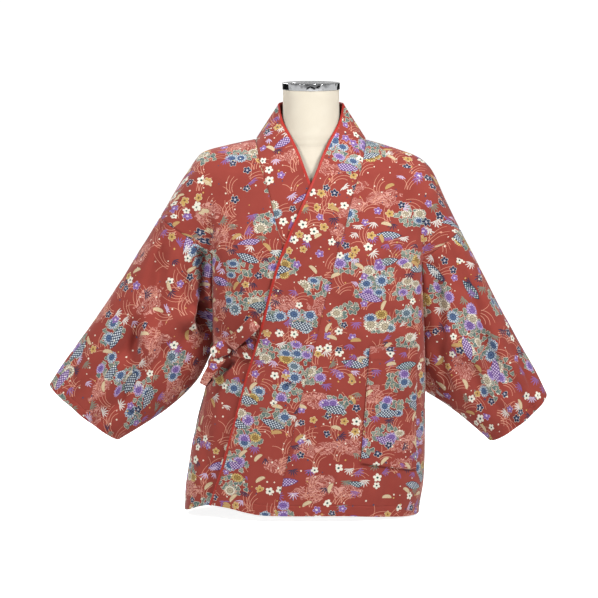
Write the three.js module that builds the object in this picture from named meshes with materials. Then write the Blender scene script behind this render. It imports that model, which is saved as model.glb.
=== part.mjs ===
// A kimono-style wrap top on a limbless dress form, in millimetres.
// +Z is up, the front faces -Y and +X is the wearer's left. The origin is the
// middle of the form's flat foot. The top has two fronts, two backs, two wide
// sleeves, a collar with overlap in one strip on each side, piping on the
// strips' free edges, one patch pocket and a side tie in a one-loop bow.
//
// The body of the top is one shell: a depth in front of and behind the plane
// y = 0 for each place (x, z). The panels are patches of that shell. A row
// number runs from 0 on the shoulder ridge to 1 at the underarm and 2 at the
// hem, positive in front and negative behind, and a column number runs from 0
// on a panel's inner edge to 1 on its outer edge.
import * as THREE from "three";

// Cloth
const CLOTH = 1.5;            // wall of fronts, backs, sleeves and pocket
const COLLAR = 2.4;           // collar strip, which is cloth on interlining
const PIPING_WIDTH = 6.3;
const PIPING_THICK = 3.2;
const SEAM_GAP = 0.4;         // between neighbours along a seam
const POCKET_GAP = 1.5;         // between the pocket and the front it lies on
const TIE_THICK = 1.6;

// Shell of the body
const RIDGE_DROP = 62;        // height over which the shoulder rounds over
const SIDE_POWER = 2.5;       // squareness of the body's oval
const GUSSET = 52;            // half depth of the armhole where it is widest
const GUSSET_CURVE = { turn: 1.8, lift: 0.85 };   // how it opens above the underarm
const SOFT_REACH = 290;       // how far out the chest's bulge fades away
const CREASE_FADE = 120;      // height over which the crease at the armhole fades
const KNEE_ROW = 5 / 16;      // row of the armhole's front and back corners
const NAPE_ROW = 4 / 16;      // row where the back neck reaches the centre
const SPLIT_ROW = 1 / 16;     // shoulder seam, a little behind the ridge
const UNDERARM_SEAM_Z = 250;  // height of row 1 at the collar seam and centre back
const YOKE_DROP = 70;         // drop of the collar seam from row 0 to the knee row
const NAPE_DEPTH = 70;        // how far behind the ridge the back neck seam lies
const NAPE_Z = 704;           // height of the neck seam at the centre back
const HEM_LEVEL = 12;         // mean height of the hem

// Collar opening: an oval round the neck
const NECK = { half: 60.5, back: 60, centre: 3, side_z: 782, nape_z: 784 };

const DEPTH = [
  { z: 0, front: 130, back: 118 },
  { z: 115, front: 129, back: 122 },
  { z: 250, front: 128, back: 114 },
  { z: 400, front: 127, back: 109 },
  { z: 520, front: 124, back: 107 },
  { z: 580, front: 116, back: 104 },
  { z: 620, front: 106, back: 98 },
  { z: 660, front: 92, back: 89 },
  { z: 700, front: 80, back: 79 },
  { z: 735, front: 70, back: 70 },
];

// How far the layer underneath lies inside the one that laps over it
const LAP = [
  { z: 0, inside: 9 },
  { z: 400, inside: 6.5 },
  { z: 640, inside: 5.5 },
  { z: 655, inside: 5 },
  { z: 700, inside: 0 },
];
const LAP_RAMP = 55;
const HIDDEN_HEM_LIFT = 5;

// Each side: its outline, its shoulder ridge, the corners of its armhole and
// its sleeve. x is measured away from the middle on that side. The sleeve's
// rows give its upper and lower fold and its half depths, from 0 at the
// armhole to 1 at the cuff.
const LEFT = {
  name: "left",
  sign: 1,
  edge: [
    { z: 5, x: 206 }, { z: 22, x: 208 }, { z: 65, x: 215 }, { z: 120, x: 217 },
    { z: 232, x: 218 }, { z: 340, x: 215 }, { z: 486, x: 209 }, { z: 700, x: 208 },
  ],
  ridge: [
    { x: 0, z: 735 }, { x: 60, z: 725 }, { x: 105, z: 713 }, { x: 169, z: 693 },
    { x: 204, z: 679 }, { x: 226, z: 659 }, { x: 255, z: 599 }, { x: 280.7, z: 547 },
    { x: 283, z: 543 },
  ],
  neck: { x: 105, z: 713 },
  shoulder: { x: 283, z: 543 },
  knee: { x: 209, z: 486 },
  underarm: { x: 218, z: 232 },
  sleeve: [
    { s: 0, top_x: 283, top_z: 543, low_x: 218, low_z: 232, front: 52, back: 52 },
    { s: 0.22, top_x: 329, top_z: 447, low_x: 249, low_z: 213, front: 70, back: 64 },
    { s: 0.5, top_x: 375, top_z: 364, low_x: 285, low_z: 187, front: 62, back: 57 },
    { s: 0.8, top_x: 421, top_z: 281, low_x: 320, low_z: 157, front: 48, back: 46 },
    { s: 1, top_x: 448, top_z: 230, low_x: 338, low_z: 141, front: 38, back: 36 },
  ],
  cuff_bow: 13,
};
const RIGHT = {
  name: "right",
  sign: -1,
  edge: [
    { z: 8, x: 241 }, { z: 45, x: 239.5 }, { z: 90, x: 233.5 }, { z: 135, x: 225 },
    { z: 180, x: 216.5 }, { z: 240, x: 200 }, { z: 312, x: 187 }, { z: 500, x: 186 },
    { z: 700, x: 184 },
  ],
  ridge: [
    { x: 0, z: 735 }, { x: 60, z: 725 }, { x: 105, z: 714 }, { x: 160, z: 702 },
    { x: 204, z: 689 }, { x: 238, z: 646 }, { x: 275.5, z: 584 }, { x: 286, z: 566 },
  ],
  neck: { x: 105, z: 714 },
  shoulder: { x: 286, z: 566 },
  knee: { x: 186, z: 500 },
  underarm: { x: 187, z: 312 },
  sleeve: [
    { s: 0, top_x: 286, top_z: 566, low_x: 187, low_z: 312, front: 52, back: 52 },
    { s: 0.2, top_x: 332, top_z: 489, low_x: 214, low_z: 258, front: 70, back: 64 },
    { s: 0.5, top_x: 393, top_z: 396, low_x: 268, low_z: 204, front: 62, back: 57 },
    { s: 0.8, top_x: 456, top_z: 306, low_x: 327, low_z: 164, front: 48, back: 46 },
    { s: 1, top_x: 497, top_z: 247, low_x: 365, low_z: 141, front: 38, back: 36 },
  ],
  cuff_bow: 7,
};

// Seam between collar strip and front, and the strip's free edge. x is
// measured on the strip's own side and is negative once it has crossed over.
const COLLAR_SEAM = [
  { z: 8, x: -67 }, { z: 30, x: -62.7 }, { z: 101, x: -48 }, { z: 210, x: -24.7 },
  { z: 322, x: 4.4 }, { z: 428, x: 28.5 }, { z: 499, x: 46.7 }, { z: 559, x: 65 },
  { z: 618.5, x: 79.5 }, { z: 663, x: 94 }, { z: 713, x: 105 },
];
const FREE_EDGE = [
  { z: 20, x: -196 }, { z: 32, x: -192 }, { z: 90, x: -173 }, { z: 164, x: -152.8 },
  { z: 272, x: -123.7 }, { z: 370, x: -94.6 }, { z: 427.6, x: -80.6 }, { z: 481, x: -66 },
  { z: 538, x: -44.3 }, { z: 588, x: -22.4 }, { z: 633, x: -2.5 }, { z: 654, x: 6.7 },
  { z: 692.5, x: 22 }, { z: 720.3, x: 36 }, { z: 754, x: 54.5 }, { z: 782, x: 60.5 },
];
// Depth of the free edge where it stands off the shell beside the neck
const NECK_EDGE = [
  { z: 640, y: -99 }, { z: 692, y: -77 }, { z: 720, y: -56 }, { z: 740, y: -39 },
  { z: 754, y: -26 }, { z: 768, y: -12 }, { z: 782, y: 3 },
];
// Height of the free edge across the strip from each height of its seam
const ACROSS = [
  { seam_z: 250, edge_z: 262 }, { seam_z: 428, edge_z: 445 }, { seam_z: 559, edge_z: 585 },
  { seam_z: 618.5, edge_z: 650 }, { seam_z: 663, edge_z: 700 }, { seam_z: 695, edge_z: 742 },
  { seam_z: 713, edge_z: 782 },
];
const FRONT_HEM = [
  { x: -241, z: 8 }, { x: -211, z: 23 }, { x: -192, z: 27 }, { x: -160, z: 24 },
  { x: -120, z: 15.7 }, { x: -95, z: 12 }, { x: -63, z: 11 }, { x: 51, z: 11 },
  { x: 139, z: 7 }, { x: 195, z: 3.4 }, { x: 207, z: 3.4 },
];
const BACK_HEM = [
  { x: -241, z: 8 }, { x: -120, z: 10 }, { x: 0, z: 8 }, { x: 120, z: 8 }, { x: 207, z: 3.4 },
];

// Large soft folds of the body: a trough from top to foot of each row
const BODY_FOLDS = [
  { face: "front", top_x: -150, top_z: 640, foot_x: -176, foot_z: 330, deep: 5, wide: 16 },
  { face: "front", top_x: -182, top_z: 290, foot_x: -196, foot_z: 60, deep: 5, wide: 14 },
  { face: "front", top_x: 158, top_z: 640, foot_x: 182, foot_z: 360, deep: 5, wide: 16 },
  { face: "front", top_x: 40, top_z: 210, foot_x: 34, foot_z: 20, deep: 3.5, wide: 18 },
  { face: "back", top_x: -130, top_z: 650, foot_x: -168, foot_z: 300, deep: 7, wide: 18 },
  { face: "back", top_x: 130, top_z: 650, foot_x: 172, foot_z: 280, deep: 7, wide: 18 },
  { face: "back", top_x: -70, top_z: 420, foot_x: -92, foot_z: 20, deep: 6, wide: 24 },
  { face: "back", top_x: 64, top_z: 400, foot_x: 88, foot_z: 20, deep: 6, wide: 24 },
];
// Large soft folds of the sleeves, along the sleeve. at_0 and at_1 are places
// across it, from 0 on the upper fold to 1 on the lower, at armhole and cuff.
const SLEEVE_FOLDS = [
  { side: "left", face: "front", at_0: 0.4, at_1: 0.3, deep: 9, wide: 0.09 },
  { side: "left", face: "front", at_0: 0.66, at_1: 0.62, deep: 8, wide: 0.09 },
  { side: "left", face: "back", at_0: 0.5, at_1: 0.42, deep: 9, wide: 0.11 },
  { side: "right", face: "front", at_0: 0.36, at_1: 0.34, deep: 9, wide: 0.1 },
  { side: "right", face: "front", at_0: 0.62, at_1: 0.66, deep: 8, wide: 0.08 },
  { side: "right", face: "back", at_0: 0.5, at_1: 0.5, deep: 9, wide: 0.11 },
];

// Pocket corners on the wearer's left front
const POCKET = {
  top: { in_x: 110, in_z: 333, out_x: 199, out_z: 326 },
  foot: { in_x: 93, in_z: 112, out_x: 197, out_z: 92 },
};

// Side tie: middle lines of its bands, and the knot between them. The strap's
// rows give how far it lies ahead of the layer under it.
const KNOT = { x: -170, y: -96.3, z: 330, half_x: 21, half_y: 10, half_z: 16 };
const TIE_STRAP = {
  rows: [
    { x: -88, z: 326, off: 1.9 }, { x: -102, z: 324, off: 2 }, { x: -116, z: 321, off: 2 },
    { x: -132, z: 319, off: 2.2 }, { x: -148, z: 319, off: 3 },
  ],
  across: { x: 0, z: 1 }, width: [44, 14],
};
const TIE_SIDE = {
  rows: [
    { x: -195.4, y: -3, z: 279 }, { x: -194.6, y: -18, z: 283 }, { x: -190, y: -38, z: 293 },
    { x: -182, y: -60, z: 307 }, { x: -182, y: -88.6, z: 322.5 },
  ],
  across: { x: 0, z: 1 }, width: [22, 16],
};
const TIE_LOOP = {
  rows: [
    { x: -150.4, y: -101, z: 334.6 }, { x: -140, y: -107, z: 345 }, { x: -122, y: -114, z: 362 },
    { x: -110, y: -119, z: 374 }, { x: -105, y: -125, z: 379 }, { x: -109, y: -131, z: 375 },
    { x: -122, y: -128, z: 362 }, { x: -139, y: -119, z: 346 }, { x: -153, y: -108.5, z: 332 },
  ],
  across: { x: -0.7, z: 0.7 }, width: [26, 26],
};
const TIE_TAIL = {
  rows: [
    { x: -172.5, y: -98, z: 311 }, { x: -179, y: -97, z: 300 }, { x: -188, y: -94, z: 284 },
    { x: -197, y: -90, z: 268 }, { x: -203, y: -88, z: 256 },
  ],
  across: { x: 0.86, z: -0.51 }, width: [22, 19],
};

// Dress form: oval sections, and the metal disc on its neck
const FORM_POWER = 2.3;
const FORM = [
  { z: 0, half: 108, front: 52, back: 80 }, { z: 2, half: 116, front: 60, back: 87 },
  { z: 8, half: 127, front: 72, back: 96 }, { z: 25, half: 145, front: 88, back: 106 },
  { z: 60, half: 158, front: 99, back: 112 }, { z: 115, half: 165, front: 104, back: 114 },
  { z: 180, half: 156, front: 100, back: 100 }, { z: 250, half: 134, front: 93, back: 88 },
  { z: 315, half: 118, front: 88, back: 78 }, { z: 380, half: 126, front: 96, back: 84 },
  { z: 440, half: 140, front: 107, back: 92 }, { z: 480, half: 147, front: 111, back: 96 },
  { z: 530, half: 155, front: 107, back: 98 }, { z: 590, half: 168, front: 93, back: 96 },
  { z: 640, half: 179, front: 80, back: 86 }, { z: 668, half: 180, front: 68, back: 74 },
  { z: 682, half: 173, front: 57, back: 61 }, { z: 691, half: 161, front: 50, back: 53 },
  { z: 697, half: 142, front: 45, back: 49 }, { z: 704, half: 119, front: 43, back: 48 },
  { z: 709, half: 103, front: 44, back: 47 }, { z: 715, half: 84, front: 45, back: 51 },
  { z: 724, half: 67, front: 47, back: 52 }, { z: 736, half: 59, front: 48, back: 53 },
  { z: 752, half: 55, front: 49, back: 54 }, { z: 770, half: 53.5, front: 50, back: 55 },
  { z: 807, half: 53, front: 50, back: 56 },
];
const CAP = { radius: 54.5, z: 807.3, top_z: 820.5, centre_y: 3, edge: 1.2 };

// Counts of the walls' meshes
const PANEL_COLUMNS = 10;
const HEM_ROWS = 6;
const ROWS_ABOVE = 16;
const STRIP_COLUMNS = 5;
const SLEEVE_RINGS = [0, 0.04, 0.1, 0.18, 0.28, 0.4, 0.52, 0.64, 0.76, 0.88, 0.95, 1];
const SLEEVE_OPENING = 0.35;  // part of the sleeve over which the armhole's shape fades

const lerp = THREE.MathUtils.lerp;
const clamp = THREE.MathUtils.clamp;
const quarterSine = (t) => Math.sin((Math.PI / 2) * t);
const quarterDrop = (t) => 1 - Math.cos((Math.PI / 2) * t);

function smoothstep(from, to, value) {
  const t = clamp((value - from) / (to - from), 0, 1);
  return t * t * (3 - 2 * t);
}

// A smooth curve through a table's rows, which never overshoots them.
function curve(rows, key, column) {
  const at = rows.map((row) => row[key]);
  const value = rows.map((row) => row[column]);
  const last = rows.length - 1;
  const rise = (i) => (value[i + 1] - value[i]) / (at[i + 1] - at[i]);
  const slope = value.map((_, i) => {
    if (i === 0) return rise(0);
    if (i === last) return rise(last - 1);
    const before = rise(i - 1);
    const after = rise(i);
    return before * after > 0 ? (2 * before * after) / (before + after) : 0;
  });
  return (place) => {
    const x = clamp(place, at[0], at[last]);
    let i = 0;
    while (i < last - 1 && x > at[i + 1]) i += 1;
    const span = at[i + 1] - at[i];
    const t = (x - at[i]) / span;
    const end = t * t * (3 - 2 * t);
    return (
      (1 - end) * value[i] + end * value[i + 1] +
      span * t * (1 - t) * ((1 - t) * slope[i] - t * slope[i + 1])
    );
  };
}

const centreDepth = {
  front: curve(DEPTH, "z", "front"),
  back: curve(DEPTH, "z", "back"),
};
const lapInside = curve(LAP, "z", "inside");
const seamX = curve(COLLAR_SEAM, "z", "x");
const freeX = curve(FREE_EDGE, "z", "x");
const neckEdgeY = curve(NECK_EDGE, "z", "y");
const acrossZ = curve(ACROSS, "seam_z", "edge_z");
const frontHem = curve(FRONT_HEM, "x", "z");
const backHem = curve(BACK_HEM, "x", "z");
for (const side of [LEFT, RIGHT]) {
  side.edgeX = curve(side.edge, "z", "x");
  side.ridgeZ = curve(side.ridge, "x", "z");
  side.sleeveAt = Object.fromEntries(
    ["top_x", "top_z", "low_x", "low_z", "front", "back"]
      .map((column) => [column, curve(side.sleeve, "s", column)]),
  );
}

// Half depth of the armhole at a height: 0 at the underarm, widest at the knee.
function gusset(side, z) {
  const up = clamp((z - side.underarm.z) / (side.knee.z - side.underarm.z), 0, 1);
  return GUSSET * (1 - (1 - up) ** GUSSET_CURVE.turn) ** GUSSET_CURVE.lift;
}

function foldDepth(face, x, z) {
  let depth = 0;
  for (const fold of BODY_FOLDS) {
    if (fold.face !== face) continue;
    const down = (fold.top_z - z) / (fold.top_z - fold.foot_z);
    const across = (x - lerp(fold.top_x, fold.foot_x, down)) / fold.wide;
    const along = smoothstep(-0.1, 0.35, down) * (1 - smoothstep(0.85, 1.2, down));
    depth += fold.deep * along * Math.exp(-across * across);
  }
  return depth;
}

// Depth of the shell in front of or behind the plane y = 0, at a place (x, z).
function shellDepth(face, x, z) {
  const side = x >= 0 ? LEFT : RIGHT;
  const out = Math.abs(x);
  const ratio = Math.min(1, out / side.edgeX(z));
  const crisp = (1 - ratio ** SIDE_POWER) ** (1 / SIDE_POWER);
  const soft = Math.cos((Math.PI / 2) * Math.min(1, out / SOFT_REACH)) ** 2;
  const bulge = lerp(crisp, soft, smoothstep(side.knee.z, side.knee.z + CREASE_FADE, z));
  const narrow = gusset(side, z);
  const drop = clamp((side.ridgeZ(out) - z) / RIDGE_DROP, 0, 1);
  const round = Math.sqrt(1 - (1 - drop) ** 2);
  const full = narrow + (centreDepth[face](z) - narrow) * bulge;
  return (full - foldDepth(face, x, z) * bulge) * round;
}

function shellPoint(face, x, z) {
  const depth = shellDepth(face, x, z);
  return new THREE.Vector3(x, face === "front" ? -depth : depth, z);
}

// The shell's outward direction at a place on its front.
function frontNormal(x, z) {
  const step = 1;
  const slopeX = (shellDepth("front", x + step, z) - shellDepth("front", x - step, z)) / (2 * step);
  const slopeZ = (shellDepth("front", x, z + step) - shellDepth("front", x, z - step)) / (2 * step);
  return new THREE.Vector3(-slopeX, -1, -slopeZ).normalize();
}

// A point of the front moved out along the shell's normal by off.
function onFront(x, z, off) {
  return shellPoint("front", x, z).addScaledVector(frontNormal(x, z), off);
}

// How far the wearer's right front lies inside the left one that laps over it.
function lapDepth(x, z) {
  const edge = freeX(z);
  const ramp = Math.min(LAP_RAMP, 0.8 * (RIGHT.edgeX(z) + edge));
  return lapInside(z) * smoothstep(edge - ramp, edge, x);
}

// A point of one side's front layer: the left one is the shell itself.
function layerPoint(side, x, z) {
  return side === LEFT ? shellPoint("front", x, z) : onFront(x, z, -lapDepth(x, z));
}

function hemZ(side, face, x) {
  if (face === "back") return backHem(x);
  const hidden = side === RIGHT ? smoothstep(-196, -166, x) : 0;
  return frontHem(x) + HIDDEN_HEM_LIFT * hidden;
}

// Inner edge of a front (the collar seam) or back (neck seam, then the middle).
function innerEdge(side, face, row) {
  if (face === "back" && row <= NAPE_ROW) {
    const turn = row / NAPE_ROW;
    const x = side.neck.x * (1 - quarterDrop(turn));
    const reach = (NAPE_DEPTH * quarterSine(turn)) / centreDepth.back(side.neck.z);
    const fall = RIDGE_DROP * (1 - Math.sqrt(1 - reach ** 2));
    return { x, z: side.ridgeZ(x) - fall - (side.ridgeZ(0) - NAPE_Z - fall) * turn ** 3 };
  }
  if (face === "back") {
    const down = (row - NAPE_ROW) / (1 - NAPE_ROW);
    return { x: 0, z: lerp(NAPE_Z, UNDERARM_SEAM_Z, down) };
  }
  const top = side.neck.z;
  const z = row <= KNEE_ROW
    ? top - YOKE_DROP * quarterDrop(row / KNEE_ROW)
    : lerp(top - YOKE_DROP, UNDERARM_SEAM_Z, (row - KNEE_ROW) / (1 - KNEE_ROW));
  return { x: row === 0 ? side.neck.x : seamX(z), z };
}

// Outer edge of a front or back above the underarm: the armhole.
function armhole(side, row) {
  if (row <= KNEE_ROW) {
    const part = quarterDrop(row / KNEE_ROW) ** 1.6;
    return {
      x: lerp(side.shoulder.x, side.knee.x, part),
      z: lerp(side.shoulder.z, side.knee.z, part),
    };
  }
  const down = (row - KNEE_ROW) / (1 - KNEE_ROW);
  const z = lerp(side.knee.z, side.underarm.z, down);
  return { x: side.edgeX(z), z };
}

// Place (x, z) on a front or back, with x measured on its own side.
function panelPlace(side, face, row, column) {
  const above = Math.min(row, 1);
  const inner = innerEdge(side, face, above);
  const outer = armhole(side, above);
  const x = lerp(inner.x, outer.x, column);
  const drop = lerp(
    side.ridgeZ(Math.abs(inner.x)) - inner.z,
    side.ridgeZ(outer.x) - outer.z,
    column,
  );
  const z = side.ridgeZ(Math.abs(x)) - drop;
  if (row <= 1) return { x, z };
  const inside = face === "front" ? seamX : () => 0;
  const footX = side.sign * lerp(inside(HEM_LEVEL), side.edgeX(HEM_LEVEL), column);
  const low = lerp(z, hemZ(side, face, footX), row - 1);
  return { x: lerp(inside(low), side.edgeX(low), column), z: low };
}

function panelPoint(side, row, column) {
  const face = row >= 0 ? "front" : "back";
  const place = panelPlace(side, face, Math.abs(row), column);
  const x = side.sign * place.x;
  return face === "front" ? layerPoint(side, x, place.z) : shellPoint("back", x, place.z);
}

// Point of a collar strip: column 0 is its free edge and column 1 its seam.
function stripPoint(side, row, column) {
  const seam = panelPoint(side, row, 0);
  if (row <= 0) {
    const turn = -row / NAPE_ROW;
    const edge = new THREE.Vector3(
      side.sign * NECK.half * (1 - quarterDrop(turn)),
      NECK.centre + NECK.back * quarterSine(turn),
      lerp(NECK.side_z, NECK.nape_z, turn),
    );
    return edge.lerp(seam, column);
  }
  const above = Math.min(row, 1);
  const seamTop = innerEdge(side, "front", above);
  const scale = (seamTop.z - UNDERARM_SEAM_Z) / (side.neck.z - UNDERARM_SEAM_Z);
  const edgeZ = acrossZ(lerp(UNDERARM_SEAM_Z, LEFT.neck.z, scale));
  let x = lerp(freeX(edgeZ), seamTop.x, column);
  let z = lerp(edgeZ, seamTop.z, column);
  if (row > 1) {
    const footX = side.sign * lerp(freeX(HEM_LEVEL), seamX(HEM_LEVEL), column);
    z = lerp(z, hemZ(side, "front", footX), row - 1);
    x = lerp(freeX(z), seamX(z), column);
  }
  const lying = layerPoint(side, side.sign * x, z);
  const standing = lerp(neckEdgeY(edgeZ), seam.y, column);
  const free = smoothstep(655, 720, lerp(edgeZ, seamTop.z, column));
  lying.y = lerp(lying.y, standing, row > 1 ? 0 : free);
  return column === 1 ? seam : lying;
}

// A sleeve's point: s runs from the armhole to the cuff. The row is the
// armhole's, positive in front and negative behind.
function sleevePoint(side, s, row) {
  const face = row >= 0 ? "front" : "back";
  const across = Math.abs(row);
  const start = armhole(side, across);
  const seam = panelPoint(side, row, 1);
  if (s === 0) return seam;
  const at = (column) => side.sleeveAt[column](s);
  const chordOf = (top, low) => new THREE.Vector2(low.x - top.x, low.z - top.z);
  const root = chordOf(side.shoulder, side.underarm);
  const rootLength = root.length();
  const offset = new THREE.Vector2(start.x - side.shoulder.x, start.z - side.shoulder.z);
  const along = offset.dot(root) / rootLength ** 2;
  const aside = offset.cross(root) / rootLength;
  const top = { x: at("top_x"), z: at("top_z") };
  const chord = chordOf(top, { x: at("low_x"), z: at("low_z") });
  const outward = new THREE.Vector2(-chord.y, chord.x).normalize();
  const open = smoothstep(0, SLEEVE_OPENING, s);
  const angle = Math.PI * across;
  const part = lerp(along, (1 - Math.cos(angle)) / 2, open);
  const roundness = Math.sin(angle) ** 0.9;
  let depth = lerp(Math.abs(seam.y), at(face) * roundness, open);
  for (const fold of SLEEVE_FOLDS) {
    if (fold.side !== side.name || fold.face !== face) continue;
    const away = (part - lerp(fold.at_0, fold.at_1, s)) / fold.wide;
    depth -= fold.deep * smoothstep(0, 0.3, s) * Math.exp(-away * away);
  }
  const bow = side.cuff_bow * roundness * smoothstep(0.3, 1, s);
  const push = bow - aside * (1 - open);
  const x = top.x + chord.x * part + outward.x * push;
  const z = top.z + chord.y * part + outward.y * push;
  return new THREE.Vector3(side.sign * x, face === "front" ? -depth : depth, z);
}

// A grid of outer points, with the direction that its wall grows away from.
function makeGrid(name, rows, wall, closed = false) {
  const count = rows[0].length;
  const normals = rows.map((row, i) => row.map((point, j) => {
    const above = rows[Math.max(i - 1, 0)][j];
    const below = rows[Math.min(i + 1, rows.length - 1)][j];
    const before = row[closed ? (j + count - 1) % count : Math.max(j - 1, 0)];
    const after = row[closed ? (j + 1) % count : Math.min(j + 1, count - 1)];
    const down = new THREE.Vector3().subVectors(below, above);
    const across = new THREE.Vector3().subVectors(after, before);
    return down.cross(across).normalize();
  }));
  return { name, rows, normals, wall, closed };
}

// The wall's outward side is the one away from the top's middle.
function faceOut(grid, middle) {
  let sum = 0;
  grid.rows.forEach((row, i) => row.forEach((point, j) => {
    sum += new THREE.Vector3().subVectors(point, middle(point)).dot(grid.normals[i][j]);
  }));
  if (sum < 0) grid.normals.flat().forEach((normal) => normal.negate());
  return grid;
}

// Border places of a grid as [row, column] pairs.
function borderOf(grid) {
  const places = [];
  const last = grid.rows.length - 1;
  const end = grid.rows[0].length - 1;
  grid.rows.forEach((row, i) => row.forEach((_, j) => {
    if (i === 0 || i === last || (!grid.closed && (j === 0 || j === end))) places.push([i, j]);
  }));
  return places;
}

// Points that two grids share get one common normal, so walls meet squarely.
function shareNormals(grids) {
  const shared = new Map();
  const key = (point) => point.toArray().map((value) => Math.round(value * 100)).join();
  for (const grid of grids) {
    for (const [i, j] of borderOf(grid)) {
      const name = key(grid.rows[i][j]);
      if (!shared.has(name)) shared.set(name, new THREE.Vector3());
      shared.get(name).add(grid.normals[i][j]);
    }
  }
  for (const grid of grids) {
    for (const [i, j] of borderOf(grid)) {
      grid.normals[i][j] = shared.get(key(grid.rows[i][j])).clone().normalize();
    }
  }
}

// Moves one border of a grid towards its neighbours, by half a seam's gap.
function inset(grid, border, distance = SEAM_GAP / 2) {
  const { rows } = grid;
  const last = rows.length - 1;
  const end = rows[0].length - 1;
  const move = (point, towards) => {
    const way = new THREE.Vector3().subVectors(towards, point);
    point.addScaledVector(way.normalize(), distance);
  };
  if (border === "top") rows[0].forEach((point, j) => move(point, rows[1][j]));
  if (border === "foot") rows[last].forEach((point, j) => move(point, rows[last - 1][j]));
  if (border === "inner") rows.forEach((row) => move(row[0], row[1]));
  if (border === "outer") rows.forEach((row) => move(row[end], row[end - 1]));
}

// A closed mesh from points and quads; its faces are turned to point outwards.
function solid(points, quads) {
  const index = quads.flatMap(([a, b, c, d]) => (d === undefined ? [a, b, c] : [a, b, c, a, c, d]));
  let volume = 0;
  for (let i = 0; i < index.length; i += 3) {
    const [a, b, c] = [points[index[i]], points[index[i + 1]], points[index[i + 2]]];
    volume += a.dot(new THREE.Vector3().crossVectors(b, c));
  }
  if (volume < 0) index.reverse();
  const geometry = new THREE.BufferGeometry().setFromPoints(points);
  geometry.setIndex(index);
  geometry.computeVertexNormals();
  return geometry;
}

// The wall of a grid: its outer points, and inner ones a wall's thickness in.
function wallGeometry(grid) {
  const { rows, normals, wall, closed } = grid;
  const height = rows.length;
  const width = rows[0].length;
  const outer = rows.flat();
  const inner = outer.map((point, n) => point.clone().addScaledVector(normals.flat()[n], -wall));
  const at = (i, j) => i * width + (j % width);
  const under = (i, j) => height * width + at(i, j);
  const quads = [];
  for (let i = 0; i < height - 1; i += 1) {
    for (let j = 0; j < (closed ? width : width - 1); j += 1) {
      quads.push([at(i, j), at(i + 1, j), at(i + 1, j + 1), at(i, j + 1)]);
      quads.push([under(i, j), under(i, j + 1), under(i + 1, j + 1), under(i + 1, j)]);
    }
    if (closed) continue;
    quads.push([at(i, 0), under(i, 0), under(i + 1, 0), at(i + 1, 0)]);
    quads.push([at(i, width - 1), at(i + 1, width - 1), under(i + 1, width - 1), under(i, width - 1)]);
  }
  for (let j = 0; j < (closed ? width : width - 1); j += 1) {
    quads.push([at(0, j), at(0, j + 1), under(0, j + 1), under(0, j)]);
    const i = height - 1;
    quads.push([at(i, j), under(i, j), under(i, j + 1), at(i, j + 1)]);
  }
  return solid([...outer, ...inner], quads);
}

// A closed solid through rings of points, with flat ends.
function loft(rings) {
  const count = rings[0].length;
  const points = rings.flat();
  const quads = [];
  for (let i = 0; i < rings.length - 1; i += 1) {
    for (let j = 0; j < count; j += 1) {
      const next = (j + 1) % count;
      quads.push([i * count + j, i * count + next, (i + 1) * count + next, (i + 1) * count + j]);
    }
  }
  for (const [ring, turn] of [[0, -1], [rings.length - 1, 1]]) {
    const middle = rings[ring].reduce((sum, point) => sum.add(point), new THREE.Vector3());
    points.push(middle.divideScalar(count));
    for (let j = 0; j < count; j += 1) {
      const pair = [ring * count + j, ring * count + ((j + 1) % count)];
      quads.push([...(turn > 0 ? pair : pair.reverse()), points.length - 1]);
    }
  }
  return solid(points, quads);
}

// Row and column numbers of the walls' meshes.
const span = (from, to, count) => Array.from({ length: count + 1 }, (_, i) => lerp(from, to, i / count));
const PANEL_COLUMN = span(0, 1, PANEL_COLUMNS).map((t) => 1 - (1 - t) ** 2.2);
const UPPER_ROWS = span(0, 1, ROWS_ABOVE);
const LOWER_ROWS = span(1, 2, HEM_ROWS).slice(1);
const ALL_ROWS = [...UPPER_ROWS, ...LOWER_ROWS];
const FRONT_ROWS = [-SPLIT_ROW, ...ALL_ROWS];
const BACK_ROWS = ALL_ROWS.filter((row) => row >= SPLIT_ROW).map((row) => -row);
const behind = (rows) => rows.map((row) => -row);
const NAPE_ROWS = ALL_ROWS.filter((row) => row > 0 && row <= NAPE_ROW);
const STRIP_ROWS = [...behind(NAPE_ROWS).reverse(), ...ALL_ROWS];
const RING_ROWS = [...UPPER_ROWS.slice(0, -1), ...behind(UPPER_ROWS.slice(1)).reverse()];

const gridOf = (name, rowNumbers, columns, wall, pointAt, closed) =>
  makeGrid(name, rowNumbers.map((row) => columns.map((column) => pointAt(row, column))), wall, closed);

function stripEdgeDirection(side, row) {
  const edge = stripPoint(side, row, 0);
  return stripPoint(side, row, 1 / STRIP_COLUMNS).sub(edge).normalize();
}

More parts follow.
